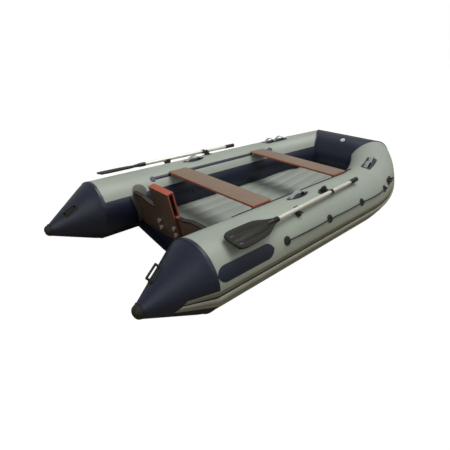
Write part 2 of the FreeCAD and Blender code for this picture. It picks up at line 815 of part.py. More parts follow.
bow_valve = valve_body()
valve_radians = math.radians(bow_valve_angle)
bow_normal = Vector(-math.sin(valve_radians), 0, math.cos(valve_radians))
bow_valve_at = Vector(bow_axis_x, bow_valve_y, bow_corner_z) + bow_normal * tube_radius
bow_valve.Placement = Placement(bow_valve_at, Rotation(port, Vector(), bow_normal, "ZXY"))
save("bow_valve", cut_by(bow_valve, [seat_cross]))

floor_slope = floor_bow_rise / (floor_end_x - floor_bend_x)
floor_valve_z = floor_top + floor_slope * max(floor_valve_x - floor_bend_x, 0.0)
valve_foot = Vector(floor_valve_x, floor_valve_y, floor_valve_z - 16)
floor_valve = Part.makeCylinder(valve_radius, 16 + 5, valve_foot)
save("floor_valve", cut_by(floor_valve, [floor_bow, floor_flat]))


# ---- grab lines through their eyelets -----------------------------------------------
def eyelet():
    """A round rubber patch with a ring for the line, about the origin with Z outward."""
    base = Part.makeCylinder(eyelet_radius, 14, Vector(0, 0, -8))
    ring = Part.makeTorus(eyelet_ring_radius, eyelet_wire_radius, Vector(0, 0, 0), ahead)
    ring.translate(Vector(0, 0, rope_height))
    return base, ring


eyelets = []
for station in eyelet_stations:
    base, ring = eyelet()
    base = on_tube(base, station, eyelet_angle)
    base = base.common(shell_about(station, 60, eyelet_thick))
    ring = on_tube(ring, station, eyelet_angle)
    whole = base.fuse(ring)
    eyelets.append(cut_by(whole, [seat_straight, seat_bow]))
save_both("grab_line_eyelets", *eyelets)


def rope_point(station, sag=0.0):
    """A point of the grab line at its height off the tube, hanging down by the sag."""
    point, along, normal = tube_frame(station, eyelet_angle)
    point = point + normal * rope_height
    return point - up * sag


def rounded_path(points):
    """Straight runs joined by tangent arcs, with the radius that each turn has."""
    edges = []
    radii = []
    last = points[0]
    for index in range(1, len(points) - 1):
        before = points[index] - points[index - 1]
        after = points[index + 1] - points[index]
        shorter = min(before.Length, after.Length)
        into = Vector(before).normalize()
        out_of = Vector(after).normalize()
        turn = into.getAngle(out_of)
        reach = 0.45 * shorter
        radii.append(reach / math.tan(turn / 2))
        start = points[index] - into * reach
        end = points[index] + out_of * reach
        bisector = (out_of - into).normalize()
        to_middle = radii[-1] / math.cos(turn / 2) - radii[-1]
        middle = points[index] + bisector * to_middle
        edges.append(Part.LineSegment(last, start).toShape())
        edges.append(Part.Arc(start, middle, end).toShape())
        last = end
    edges.append(Part.LineSegment(last, points[-1]).toShape())
    return Part.Wire(edges), radii


first_station = eyelet_stations[0] - rope_tail
last_station = eyelet_stations[-1] + rope_tail
rope_route = [rope_point(first_station)]
for start, end in zip(eyelet_stations[:-1], eyelet_stations[1:]):
    rope_route.append(rope_point(start))
    steps = 2 if end <= bend_x else 3
    for step in range(1, steps):
        rope_route.append(rope_point(start + (end - start) * step / steps, rope_sag))
rope_route.append(rope_point(eyelet_stations[-1]))
rope_route.append(rope_point(last_station))
rope_path, rope_radii = rounded_path(rope_route)
rope_start_way = rope_route[1] - rope_route[0]
rope_section = Part.Wire([Part.makeCircle(rope_radius, rope_route[0], rope_start_way)])
rope = rope_path.makePipeShell([rope_section], True, False)
print("grab line radii", [round(radius) for radius in rope_radii])
print("grab line length", round(rope_path.Length, 1))
rope_section = math.pi * rope_radius ** 2
print("volume against section times length", round(rope.Volume), round(rope_section * rope_path.Length))
knots = [Part.makeSphere(rope_knot_radius, rope_route[0]), Part.makeSphere(rope_knot_radius, rope_route[-1])]
rope = rope.fuse(knots)
save_pair("grab_line", rope.Solids[0])


# ---- oars, rowlocks and clips -------------------------------------------------------
def lozenge(half_length, half_width, low_z, high_z):
    """A four-cornered patch with its corners along the tube and across it."""
    points = [
        Vector(-half_length, 0, low_z),
        Vector(0, -half_width, low_z),
        Vector(half_length, 0, low_z),
        Vector(0, half_width, low_z),
    ]
    prism = face(points).extrude(Vector(0, 0, high_z - low_z))
    corners = [edge for edge in prism.Edges if abs(edge.Vertexes[0].Z - edge.Vertexes[1].Z) > 1]
    return prism.makeFillet(half_width * 0.35, corners)


oar_angle = 90.0 - oar_tilt
lock_patch = lozenge(lock_patch_half_length, lock_patch_half_width, -12.0, 8.0)
lock_patch = on_tube(lock_patch, oar_station, oar_angle)
lock_patch = lock_patch.common(shell_about(oar_station, 100, lock_patch_thick))
lock_base = Part.makeCylinder(lock_base_radius, lock_base_height + 6, Vector(0, 0, -6))
lock_base = on_tube(lock_base, oar_station, oar_angle)
lock_bore = Part.makeCylinder(pin_radius + fit_gap, lock_base_height - 3, Vector(0, 0, 4))
lock_bore = on_tube(lock_bore, oar_station, oar_angle)
lock_mount = cut_by(lock_patch.fuse(lock_base), [seat_straight, lock_bore])
save_both("rowlock_bases", lock_mount)


def oar_piece(shape):
    """Place a piece of the port oar, made about the pin with the blade along -X.

    It is turned out to its rest angle and seated on the tube. Local +Y is outboard.
    """
    turned = shape.copy()
    turned.rotate(Vector(0, 0, 0), up, -oar_rest_turn)
    return on_tube(turned, oar_station, oar_angle)


shaft_start = -(oar_tip - blade_length)
shaft_end = oar_inboard - grip_length
outboard_y = oar_offset


def shaft_rod(radius, from_x, to_x):
    """A rod on the oar's axis."""
    return Part.makeCylinder(radius, to_x - from_x, Vector(from_x, outboard_y, oar_height), ahead)


shaft = shaft_rod(shaft_radius, shaft_start, shaft_end)
grip = shaft_rod(grip_radius, shaft_end, oar_inboard)
round_edges = [edge for edge in grip.Edges if edge.Curve.TypeId == "Part::GeomCircle"]
grip_edges = [edge for edge in round_edges if edge.CenterOfMass.x > 0]
grip = grip.makeFillet(6, [max(grip_edges, key=lambda edge: edge.CenterOfMass.x)])
tip_x = -oar_tip
blade_outline = [
    (0.0, 0.62),
    (28.0, 0.94),
    (90.0, 1.0),
    (230.0, 0.86),
    (330.0, 0.55),
    (blade_length - 12, neck_radius / blade_half_width),
    (blade_length, neck_radius / blade_half_width),
]
blade_points = [
    Vector(tip_x + x, outboard_y + share * blade_half_width, oar_height - blade_thick / 2)
    for x, share in blade_outline
]
blade_points += [
    Vector(tip_x + x, outboard_y - share * blade_half_width, oar_height - blade_thick / 2)
    for x, share in reversed(blade_outline)
]
blade = face(blade_points).extrude(Vector(0, 0, blade_thick))
neck = shaft_rod(neck_radius, shaft_start - neck_length, shaft_start)
blade = blade.fuse(neck).removeSplitter().Solids[0]

ring = shaft_rod(lock_ring_radius, -lock_ring_width / 2, lock_ring_width / 2)
ring = ring.cut(shaft_rod(shaft_radius, -lock_ring_width, lock_ring_width))
turret = Part.makeCylinder(lock_block_radius, 16, Vector(0, 0, lock_base_height + 1))
knob = Part.makeCylinder(lock_knob_radius, 14, Vector(0, 0, lock_base_height + 16))
pin = Part.makeCylinder(pin_radius, lock_base_height - 3, Vector(0, 0, 6))
arm = block(-9, 9, 0, oar_offset - shaft_radius - 1, lock_base_height + 4, lock_base_height + 17)
lock = turret.fuse([knob, pin, arm, ring]).cut(shaft_rod(shaft_radius, -lock_ring_width, lock_ring_width))

save_pair("oar_shaft", oar_piece(shaft))
save_pair("oar_grip", oar_piece(grip))
save_pair("oar_blade", oar_piece(blade))
save_pair("rowlock", oar_piece(lock.removeSplitter().Solids[0]))

# The clip's jaws are open outboard, where the shaft swings out.
clip_turn = math.radians(oar_rest_turn)
clip_back = oar_station - clip_station
clip_out = oar_offset * math.cos(clip_turn) + clip_back * math.sin(clip_turn)
tilt_radians = math.radians(oar_tilt)
pin_point, pin_along, pin_normal = tube_frame(oar_station, oar_angle)
pin_outboard = Vector(0, math.cos(tilt_radians), -math.sin(tilt_radians))
clip_axis = pin_point + pin_outboard * clip_out + pin_normal * oar_height
clip_axis.x = clip_station
clip_reach = shaft_radius + clip_gap


def clip_prism(outline):
    """A prism along the tube from (outboard, upward) points about the shaft's axis."""
    points = [
        Vector(clip_station - clip_half_length, clip_axis.y + y, clip_axis.z + z)
        for y, z in outline
    ]
    return face(points).extrude(Vector(2 * clip_half_length, 0, 0))


clip = clip_prism([
    (-clip_reach - 9, -70),
    (-clip_reach - 9, 3),
    (-clip_reach - 3, 8),
    (-clip_reach, 4),
    (-clip_reach + 3, -clip_reach + 6),
    (-clip_reach + 10, -clip_reach - 1),
    (clip_reach - 6, -clip_reach - 4),
    (clip_reach + 6, -clip_reach - 3),
    (clip_reach + 8, -clip_reach - 9),
    (clip_reach - 4, -clip_reach - 16),
    (clip_reach - 8, -70),
])
save_both("oar_clips", cut_by(clip, [seat_straight]))
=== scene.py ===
import math

import bmesh
import bpy
from mathutils import Matrix, Vector


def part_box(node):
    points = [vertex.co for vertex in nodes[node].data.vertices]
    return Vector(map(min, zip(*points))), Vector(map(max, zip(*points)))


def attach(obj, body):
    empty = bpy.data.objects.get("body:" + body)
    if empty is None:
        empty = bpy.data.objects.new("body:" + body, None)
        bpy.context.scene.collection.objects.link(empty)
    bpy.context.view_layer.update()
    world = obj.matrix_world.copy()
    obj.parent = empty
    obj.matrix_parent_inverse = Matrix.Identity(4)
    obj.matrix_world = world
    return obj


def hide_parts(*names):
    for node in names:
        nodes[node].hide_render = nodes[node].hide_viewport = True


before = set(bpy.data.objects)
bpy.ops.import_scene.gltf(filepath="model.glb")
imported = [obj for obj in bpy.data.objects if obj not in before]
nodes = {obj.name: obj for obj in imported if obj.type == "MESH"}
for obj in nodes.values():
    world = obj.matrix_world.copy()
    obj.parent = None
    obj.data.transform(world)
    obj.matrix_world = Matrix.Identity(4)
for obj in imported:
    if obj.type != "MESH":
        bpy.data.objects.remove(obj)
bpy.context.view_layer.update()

# ---- camera --------------------------------------------------------------------------
# A viewer who stands off the starboard quarter of the boat, a little under eye height,
# and looks forward and down across it.
stern_seam_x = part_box("side_tube_port")[0].x
viewer = Vector((stern_seam_x - 1.043, -1.943, 1.395))
heading = math.radians(45.84)
look_down = math.radians(26.43)
head_tilt = math.radians(1.31)
view_line = Vector((
    math.cos(heading) * math.cos(look_down),
    math.sin(heading) * math.cos(look_down),
    -math.sin(look_down),
))
level_right = Vector((math.sin(heading), -math.cos(heading), 0))
level_up = level_right.cross(view_line)
right = level_right * math.cos(head_tilt) + level_up * math.sin(head_tilt)
upward = level_up * math.cos(head_tilt) - level_right * math.sin(head_tilt)
camera = bpy.data.objects.new("camera", bpy.data.cameras.new("camera"))
camera.data.lens = 29.02
camera.data.sensor_width = 36
camera.matrix_world = Matrix.Translation(viewer) @ Matrix((right, upward, -view_line)).transposed().to_4x4()
bpy.context.scene.collection.objects.link(camera)
bpy.context.scene.camera = camera


# ---- studio --------------------------------------------------------------------------
# A white photographer's floor under soft overhead light. To the eye it is nearly white,
# but it throws little light back up under the tubes, and it keeps their shadow.
class Wire:
    """A socket of a node tree, on which arithmetic adds the Math nodes."""

    def __init__(self, tree, socket=None):
        self.tree = tree
        self.socket = socket

    def node(self, kind, sockets=None, output=0, **settings):
        """Add a node with its settings, then its sockets, and return an output of it."""
        made = self.tree.nodes.new(kind)
        for key, value in settings.items():
            setattr(made, key, value)
        for key, value in (sockets or {}).items():
            if isinstance(value, Wire):
                self.tree.links.new(value.socket, made.inputs[key])
            else:
                made.inputs[key].default_value = value
        return Wire(self.tree, made.outputs[output]) if made.outputs else None

    def other(self, output):
        """Another output of the same node."""
        return Wire(self.tree, self.socket.node.outputs[output])

    def maths(self, operation, *values):
        """A Math node on values and wires."""
        return self.node("ShaderNodeMath", dict(enumerate(values)), operation=operation)

    def __add__(self, value):
        return self.maths("ADD", self, value)

    def __sub__(self, value):
        return self.maths("SUBTRACT", self, value)

    def __rsub__(self, value):
        return self.maths("SUBTRACT", value, self)

    def __mul__(self, value):
        return self.maths("MULTIPLY", self, value)

    def __gt__(self, value):
        return self.maths("GREATER_THAN", self, value)

    __radd__ = __add__
    __rmul__ = __mul__


def new_shader(name):
    """An empty material and a wire to build its tree from."""
    material = bpy.data.materials.new(name)
    material.use_nodes = True
    material.node_tree.nodes.clear()
    return material, Wire(material.node_tree)


def surface(start, shader):
    """Join a shader to the material's output."""
    start.node("ShaderNodeOutputMaterial", {"Surface": shader})


floor_half = 30.0
floor_mesh = bpy.data.meshes.new("studio_floor")
floor_mesh.from_pydata(
    [(x * floor_half, y * floor_half, 0) for x, y in ((-1, -1), (1, -1), (1, 1), (-1, 1))],
    [], [(0, 1, 2, 3)],
)
floor = bpy.data.objects.new("studio_floor", floor_mesh)
bpy.context.scene.collection.objects.link(floor)
floor_paint, start = new_shader("studio_floor")
seen = start.node("ShaderNodeLightPath", output="Is Camera Ray")
paint = start.node("ShaderNodeBsdfDiffuse", {"Color": (0.21, 0.18, 0.12, 1)})
glow = start.node("ShaderNodeEmission", {"Color": (1, 1, 1, 1), "Strength": 1.16})
surface(start, start.node("ShaderNodeMixShader", {0: seen * 0.86, 1: paint, 2: glow}))
floor_mesh.materials.append(floor_paint)

world = bpy.data.worlds.new("studio")
world.use_nodes = True
world.node_tree.nodes.clear()
start = Wire(world.node_tree)
ray = start.node("ShaderNodeLightPath", output="Is Camera Ray")
clear = ray.maths("MAXIMUM", ray, ray.other("Is Transmission Ray"))
shine = clear.maths("MAXIMUM", clear, ray.other("Is Glossy Ray") * 0.42)
strength = shine.maths("MAXIMUM", shine, 0.26)
sky = start.node("ShaderNodeBackground", {"Color": (1, 1, 1, 1), "Strength": strength})
start.node("ShaderNodeOutputWorld", {"Surface": sky})
bpy.context.scene.world = world
bpy.context.scene.view_settings.view_transform = "Standard"

for name, strength, softness, direction in (
    ("overhead", 2.05, 38, (-0.30, 0.05, -1.0)),
    ("bow_side", 0.42, 30, (-0.5, 0.9, -0.9)),
    ("stern_fill", 0.55, 45, (0.9, 0.25, -0.55)),
):
    lamp = bpy.data.lights.new(name, "SUN")
    lamp.energy = strength
    lamp.angle = math.radians(softness)
    lamp_place = bpy.data.objects.new(name, lamp)
    lamp_place.rotation_mode = "QUATERNION"
    lamp_place.rotation_quaternion = Vector(direction).to_track_quat("-Z", "Y")
    bpy.context.scene.collection.objects.link(lamp_place)


# ---- air tubes -----------------------------------------------------------------------
# Two side tubes and a cross tube at the bow, sewn up from coated polyester fabric whose
# panels are lapped and heat welded. The outside is grey, and the side towards the
# cockpit is a navy panel laid over it. The seams pull small puckers in the skin.
tube_low, tube_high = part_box("side_tube_port")
tube_radius = (tube_high.z - tube_low.z) / 2
half_track = (tube_high.y + tube_low.y) / 2
bend_x = tube_high.x
cross_low, cross_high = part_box("bow_cross_tube")
bow_x = (cross_low.x + cross_high.x) / 2
bow_z = (cross_low.z + cross_high.z) / 2
bow_turn = math.radians(40)
bow_rise = bow_z - tube_radius
bend_reach = (bow_x - bend_x) * math.tan(bow_turn / 2)
bow_corner_y = half_track - math.sqrt(bend_reach ** 2 - bow_rise ** 2)
bend_radius = bend_reach / (1 - math.cos(bow_turn))
straight_length = bend_x - stern_seam_x
bend_length = bend_radius * bow_turn
cone_length = 0.35
cone_end_radius = 0.033
cone_end_drop = 0.06

ahead = Vector((1, 0, 0))
port = Vector((0, 1, 0))
up = Vector((0, 0, 1))
inward = Vector((0, bow_corner_y - half_track, bow_rise)).normalized()
bend_axis = ahead.cross(inward)
bend_start = Vector((bend_x, half_track, tube_radius))
corner = Vector((bow_x, bow_corner_y, bow_z))
arrive = ahead * math.cos(bow_turn) + inward * math.sin(bow_turn)
mitre_normal = (arrive - port).normalized()


def tube_section(station):
    """Centre and direction of the port tube at a station from the stern seam, its radius and its turn."""
    if station < 0:
        share = -station / cone_length
        centre = Vector((stern_seam_x + station, half_track, tube_radius - cone_end_drop * share))
        return centre, ahead, tube_radius + (cone_end_radius - tube_radius) * share, 0.0
    if station <= straight_length:
        return Vector((stern_seam_x + station, half_track, tube_radius)), ahead, tube_radius, 0.0
    turn = min((station - straight_length) / bend_radius, bow_turn)
    closing = bend_radius * (1 - math.cos(turn))
    centre = bend_start + ahead * (bend_radius * math.sin(turn)) + inward * closing
    along = ahead * math.cos(turn) + inward * math.sin(turn)
    beyond = max(station - straight_length - bend_length, 0.0)
    return centre + along * beyond, along, tube_radius, turn


def on_tube(station, degrees, lift=0.0):
    """A point on the port tube. Degrees are about its axis: 0 is outboard and 90 the crown."""
    centre, along, radius, turn = tube_section(station)
    rise = (up - along * along.z).normalized()
    outboard = rise.cross(along)
    angle = math.radians(degrees)
    return centre + (outboard * math.cos(angle) + rise * math.sin(angle)) * (radius + lift)


def mitre_station(place):
    """The station at which a line along the tube, given as a function, meets the bow's mitre."""
    near, far = straight_length, straight_length + bend_length + tube_radius
    for step in range(30):
        middle = (near + far) / 2
        if (place(middle) - corner).dot(mitre_normal) < 0:
            near = middle
        else:
            far = middle
    return near


def spread(start, end, count):
    """Evenly spaced values from start to end."""
    return [start + (end - start) * step / (count - 1) for step in range(count)]


def loft(name, rings, fabric_place, caps="fan"):
    """A skin through closed rings of points, with its place on the fabric as its UV map."""
    shape = bmesh.new()
    grid = [[shape.verts.new(point) for point in ring] for ring in rings]
    layer = shape.loops.layers.uv.new("fabric")
    count = len(rings[0])
    for i in range(len(rings) - 1):
        for j in range(count):
            corners = ((i, j), (i, j + 1), (i + 1, j + 1), (i + 1, j))
            made = shape.faces.new([grid[a][b % count] for a, b in corners])
            for loop, (a, b) in zip(made.loops, corners):
                loop[layer].uv = fabric_place(a, b)
    for i in (0, len(rings) - 1):
        if caps == "fan":
            shape.faces.new(grid[i])
        else:
            for j in range(count // 2 - 1):
                shape.faces.new([grid[i][j], grid[i][j + 1], grid[i][count - 2 - j], grid[i][count - 1 - j]])
    bmesh.ops.recalc_face_normals(shape, faces=shape.faces)
    return finished_mesh(name, shape)


def finished_mesh(name, shape, sharp=38.0):
    """An object from a bmesh, smooth but for its sharp edges."""
    mesh = bpy.data.meshes.new(name)
    shape.to_mesh(mesh)
    shape.free()
    mesh.polygons.foreach_set("use_smooth", [True] * len(mesh.polygons))
    mesh.set_sharp_from_angle(angle=math.radians(sharp))
    made = bpy.data.objects.new(name, mesh)
    bpy.context.scene.collection.objects.link(made)
    return made


def laid_panel(name, place, lengths, widths, thick, under=-0.0004):
    """A thin sheet laid on a surface. Place turns a length, a width and a lift into a point."""
    rings = []
    for length in lengths:
        top = [place(length, width, thick) for width in widths]
        back = [place(length, width, under) for width in reversed(widths)]
        rings.append(top + back)
    last = len(widths) - 1

    def fabric_place(i, j):
        return lengths[i], widths[j if j <= last else max(2 * last + 1 - j, 0)]

    return loft(name, rings, fabric_place, caps="strip")


def mirrored(made, name):
    """The same piece on the other side of the boat, with its faces turned right side out."""
    shape = bmesh.new()
    shape.from_mesh(made.data)
    for vertex in shape.verts:
        vertex.co.y = -vertex.co.y
    bmesh.ops.reverse_faces(shape, faces=shape.faces)
    return finished_mesh(name, shape)


def aboard(made, material, slot, body="hull", stands_for=()):
    """Give a piece its material and fix it to its body."""
    made.data.materials.clear()
    made.data.materials.append(material)
    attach(made, body)
    if stands_for:
        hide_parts(*stands_for)
    return made


def both_aboard(made, material, slot, bodies=("hull", "hull"), stands_for=()):
    """Put a port piece and its mirror image aboard, for like nodes on each side."""
    name = made.name
    made.name = name + "_p"
    other = mirrored(made, name + "_s")
    aboard(made, material, slot, bodies[0], [node + "_port" for node in stands_for])
    aboard(other, material, slot, bodies[1], [node + "_starboard" for node in stands_for])
    return made, other


def mixed(share, first, second):
    """One colour passing into another. Each is a wire or a list of three channels."""
    ends = {6: first, 7: second}
    colours = {key: end if isinstance(end, Wire) else (*end, 1) for key, end in ends.items()}
    return share.node("ShaderNodeMix", {0: share, **colours}, output=2, data_type="RGBA")


def coated_fabric(name, colour, uv=True, rough=0.42, scuff=0.5):
    """Coated polyester: the weave shows through the coating, with faint scuffs and a satin sheen."""
    material, start = new_shader(name)
    where = start.node("ShaderNodeTexCoord", output="Object")
    weave_place = where.other("UV") if uv else where
    parts = start.node("ShaderNodeSeparateXYZ", {0: weave_place})
    threads = 2 * math.pi / 0.0016
    warp = parts.maths("SINE", parts * threads)
    weft = parts.maths("SINE", parts.other("Y") * threads)
    weave = warp * weft
    cloud = start.node("ShaderNodeTexNoise", {"Vector": where, "Scale": 2.3, "Detail": 3.0})
    speck = start.node("ShaderNodeTexNoise", {"Vector": where, "Scale": 95.0, "Detail": 2.0})
    drag = start.node("ShaderNodeMapping", {"Vector": where, "Scale": (3.0, 26.0, 26.0)})
    rub = start.node("ShaderNodeTexNoise", {"Vector": drag, "Scale": 2.0, "Detail": 6.0, "Roughness": 0.7})
    rubbed = rub.node("ShaderNodeMapRange", {0: rub, 1: 0.56, 2: 0.8, 3: 0.0, 4: scuff})
    worn = [channel * 0.72 + 0.09 for channel in colour]
    deep = [channel * 0.86 for channel in colour]
    pale = [min(channel * 1.1 + 0.004, 1) for channel in colour]
    shade = mixed(cloud, deep, pale)
    shade = mixed(rubbed * 0.25, shade, worn)
    gloss = rough + rubbed * 0.12 + speck * 0.06
    relief = weave * 0.5 + speck * 0.8 + cloud * 2.0
    bump = start.node("ShaderNodeBump", {"Height": relief, "Strength": 0.35, "Distance": 0.0002})
    surface(start, start.node("ShaderNodeBsdfPrincipled", {
        "Base Color": shade, "Roughness": gloss, "Normal": bump, "Specular IOR Level": 0.38,
    }))
    return material


grey_fabric = coated_fabric("grey_fabric", (0.310, 0.345, 0.290), rough=0.38)
navy_fabric = coated_fabric("navy_fabric", (0.0085, 0.0125, 0.029), rough=0.33)

ring_points = 144
tube_rings = 190
seam_reach = 0.035
pucker_depth = 0.0011


def pucker(distance, degrees, waves=31):
    """How far a seam draws the skin in, at a distance from it."""
    broad = math.sin(math.radians(degrees * waves))
    fine = math.sin(math.radians(degrees * (waves * 2 - 15)) + 1.3)
    wave = broad + 0.6 * fine
    return -pucker_depth * (1 + 0.5 * wave) * math.exp(-((distance / seam_reach) ** 2))


mitre_at = {}
for step in range(ring_points * 2 + 1):
    degrees = step * 180 / ring_points
    mitre_at[round(degrees, 4)] = mitre_station(lambda station, at=degrees: on_tube(station, at))


def tube_end(degrees):
    """Station of the bow's mitre on the line at these degrees round the tube."""
    return mitre_at[round(degrees % 360, 4)]


def skin_point(share, degrees, lift=0.0):
    """A point on the tube at a share of the way from the stern seam to the bow's mitre."""
    end = tube_end(degrees)
    station = share * end
    drawn = pucker(station, degrees) + pucker(end - station, degrees)
    return on_tube(station, degrees, lift + drawn)


round_degrees = [step * 360 / ring_points for step in range(ring_points + 1)]
shares = spread(0.0, 1.0, tube_rings)
rings = [[skin_point(share, degrees) for degrees in round_degrees[:-1]] for share in shares]
chamber = loft(
    "air_chamber", rings,
    lambda i, j: (shares[i] * tube_end(round_degrees[j]), tube_radius * math.radians(round_degrees[j])),
)
both_aboard(chamber, grey_fabric, "grey_pvc", stands_for=("side_tube", "bow_tube"))

panel_from, panel_to = 147.5, 250.0
panel_thick = 0.0011
inner = laid_panel(
    "cockpit_panel", skin_point, shares,
    [degrees for degrees in round_degrees if panel_from <= degrees <= panel_to], panel_thick,
)
both_aboard(inner, navy_fabric, "navy_pvc")

cross_rings = 61


def cross_point(share, degrees, lift=0.0):
    """A point on the cross tube. The share runs from the port mitre to the starboard one."""
    angle = math.radians(degrees)
    reach = Vector((math.cos(angle), 0, math.sin(angle))) * (tube_radius + lift)
    flat = Vector((bow_x, 0, bow_z)) + reach
    end_y = corner.y - (flat - Vector((corner.x, 0, corner.z))).dot(mitre_normal) / mitre_normal.y
    away = end_y * (1 - abs(2 * share - 1))
    drawn = reach.normalized() * pucker(away, degrees)
    return flat + drawn + port * end_y * (1 - 2 * share)


cross_shares = spread(0.0, 1.0, cross_rings)
rings = [[cross_point(share, degrees, 0.0004) for degrees in round_degrees[:-1]] for share in cross_shares]
bow_chamber = loft(
    "bow_chamber", rings,
    lambda i, j: (cross_shares[i] * 2 * bow_corner_y, tube_radius * math.radians(round_degrees[j])),
)
aboard(bow_chamber, navy_fabric, "navy_pvc", stands_for=["bow_cross_tube"])

tape_width = 0.016
tape_thick = 0.0014


def tape_point(degrees, across, lift):
    """A point on the tape that laps over the end of the side tube at the bow's mitre."""
    return on_tube(tube_end(degrees) + across, degrees, lift)


lap_lengths = [-tape_width, -tape_width * 0.5, -0.0002]
lap = laid_panel("bow_seam_lap", tape_point, round_degrees, lap_lengths, tape_thick)
both_aboard(lap, navy_fabric, "navy_pvc")


# ---- tail cones ----------------------------------------------------------------------
# The tubes end aft in cones of the same navy fabric. Each cone laps 22 mm over the end of
# its tube and is closed by a moulded rubber cap, glued on.
cone_lap = 0.022
cone_cut = 0.97
cone_thick = 0.0012
shoulder = 0.055


def cone_point(station, degrees, lift=0.0):
    """A point on the cone, whose shoulder is rounded where it leaves the tube."""
    eased = 0.0
    if abs(station) < shoulder:
        eased = -0.0035 * (1 - abs(station) / shoulder) ** 2
    drawn = pucker(station - 0.004, degrees + 3, 27) * 0.8
    if station > 0:
        drawn = max(drawn + eased, -0.0002)
        eased = 0.0
    return on_tube(station, degrees, lift + drawn + eased)


cone_stations = spread(cone_lap, -0.06, 24) + spread(-0.065, -cone_length * cone_cut, 40)
rings = [
    [cone_point(station, degrees, cone_thick) for degrees in round_degrees[:-1]]
    for station in cone_stations
]
cone = loft("stern_cone", rings, lambda i, j: (cone_stations[i], 0.13 * math.radians(round_degrees[j])))
both_aboard(cone, navy_fabric, "navy_pvc", stands_for=("tail_cone",))

seam_strip = laid_panel(
    "cone_seam", lambda station, degrees, lift: cone_point(station, degrees, lift + cone_thick),
    spread(0.018, -cone_length * cone_cut, 50), [262.5, 265.0, 267.5, 270.0, 272.5, 275.0], 0.001,
)
both_aboard(seam_strip, navy_fabric, "navy_pvc")


def moulded_rubber(name, colour=(0.022, 0.022, 0.02), rough=0.5, grain=180.0):
    """Moulded rubber: a fine grain from the mould, a little paler where it is handled."""
    material, start = new_shader(name)
    where = start.node("ShaderNodeTexCoord", output="Object")
    grain_noise = start.node("ShaderNodeTexNoise", {"Vector": where, "Scale": grain, "Detail": 3.0})
    bloom = start.node("ShaderNodeTexNoise", {"Vector": where, "Scale": 9.0, "Detail": 5.0})
    worn = [channel * 1.5 + 0.004 for channel in colour]
    shade = mixed(bloom, colour, worn)
    bump = start.node("ShaderNodeBump", {"Height": grain_noise, "Strength": 0.4, "Distance": 0.0004})
    surface(start, start.node("ShaderNodeBsdfPrincipled", {
        "Base Color": shade, "Roughness": rough + bloom * 0.14, "Normal": bump, "Specular IOR Level": 0.32,
    }))
    return material


olive_rubber = moulded_rubber("olive_rubber", (0.010, 0.009, 0.0055), 0.46)
black_rubber = moulded_rubber("black_rubber", (0.014, 0.014, 0.014), 0.42)


def turned(name, root, direction, profile, steps=48):
    """A piece turned about an axis, from a profile of (distance along the axis, radius)."""
    side = direction.orthogonal().normalized()
    other_side = direction.cross(side)
    rings = [
        [
            root + direction * distance + (side * math.cos(angle) + other_side * math.sin(angle)) * radius
            for angle in spread(0, 2 * math.pi, steps + 1)[:-1]
        ]
        for distance, radius in profile
    ]
    return loft(name, rings, lambda i, j: (profile[i][0], j / steps * 2 * math.pi * profile[0][1]))


cap_root = tube_radius + (cone_end_radius - tube_radius) * cone_cut
cap_proud = 0.0026
cap_slope = (tube_radius - cone_end_radius) / cone_length
cap_z = tube_radius - cone_end_drop * cone_cut
cap_centre = Vector((stern_seam_x - cone_length * cone_cut, half_track, cap_z))
cap_length = cap_centre.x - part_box("cone_cap_port")[0].x
cap_lap = 0.013
cap_profile = [(-cap_lap, cap_root + cap_slope * cap_lap)]
for reach in (0.0125, 0.006):
    cap_profile.append((-reach, cap_root + cap_proud + cap_slope * reach))
for share in spread(0.0, 1.0, 26):
    dome = (1 - share ** 2.4) ** (1 / 2.4)
    radius = (cap_root + cap_proud) * dome * (1 - 0.10 * share)
    cap_profile.append((share * cap_length * 0.98, max(radius, 0.0004)))
cap_line = (ahead * -1 - up * cone_end_drop / cone_length).normalized()
tip_cap = turned("tail_tip", cap_centre, cap_line, cap_profile, 64)
both_aboard(tip_cap, olive_rubber, "black_rubber", stands_for=("cone_cap",))


# ---- rubbing strake ------------------------------------------------------------------
# A band of heavy strake fabric glued round the outside, with a half-round rubber bead
# that takes the knocks and a thin navy line along its top.
def strake_point(station, degrees, lift):
    """A point beside the port tube, in a section that turns with the tube round its bend."""
    centre, along, radius, turn = tube_section(station)
    inward_now = inward * math.cos(turn) - ahead * math.sin(turn)
    sideways = inward_now * port.dot(inward) + bend_axis * port.dot(bend_axis)
    upright = inward_now * up.dot(inward) + bend_axis * up.dot(bend_axis)
    angle = math.radians(degrees)
    reach = radius + lift * radius / tube_radius
    return centre + (sideways * math.cos(angle) + upright * math.sin(angle)) * reach


def strake_run(name, profile, aft, slant):
    """Sweep a closed profile of (degrees, lift) round the whole boat, from one cone to the other.

    The aft end is cut on a slant: its upper edge starts further forward.
    """
    low_degrees = min(degrees for degrees, lift in profile)
    starts = [aft + slant * (degrees - low_degrees) for degrees, lift in profile]
    ends = [
        mitre_station(lambda station, at=degrees, off=lift: strake_point(station, at, off))
        for degrees, lift in profile
    ]
    run_shares = spread(0.0, 1.0, 230)
    rings = [
        [
            strake_point(start + (end - start) * share, degrees, lift)
            for (degrees, lift), start, end in zip(profile, starts, ends)
        ]
        for share in run_shares
    ]
    rings += [[Vector((point.x, -point.y, point.z)) for point in ring] for ring in reversed(rings)]
    return loft(name, rings, lambda i, j: (i * 0.0135, profile[j % len(profile)][0] * 0.0039), caps="strip")


def band_profile(low_degrees, high_degrees, thick, steps, under=-0.0004):
    """A closed profile of an even band, its top edge first and its back after."""
    top = [(degrees, thick) for degrees in spread(high_degrees, low_degrees, steps)]
    return top + [(degrees, under) for degrees in spread(low_degrees, high_degrees, steps)]


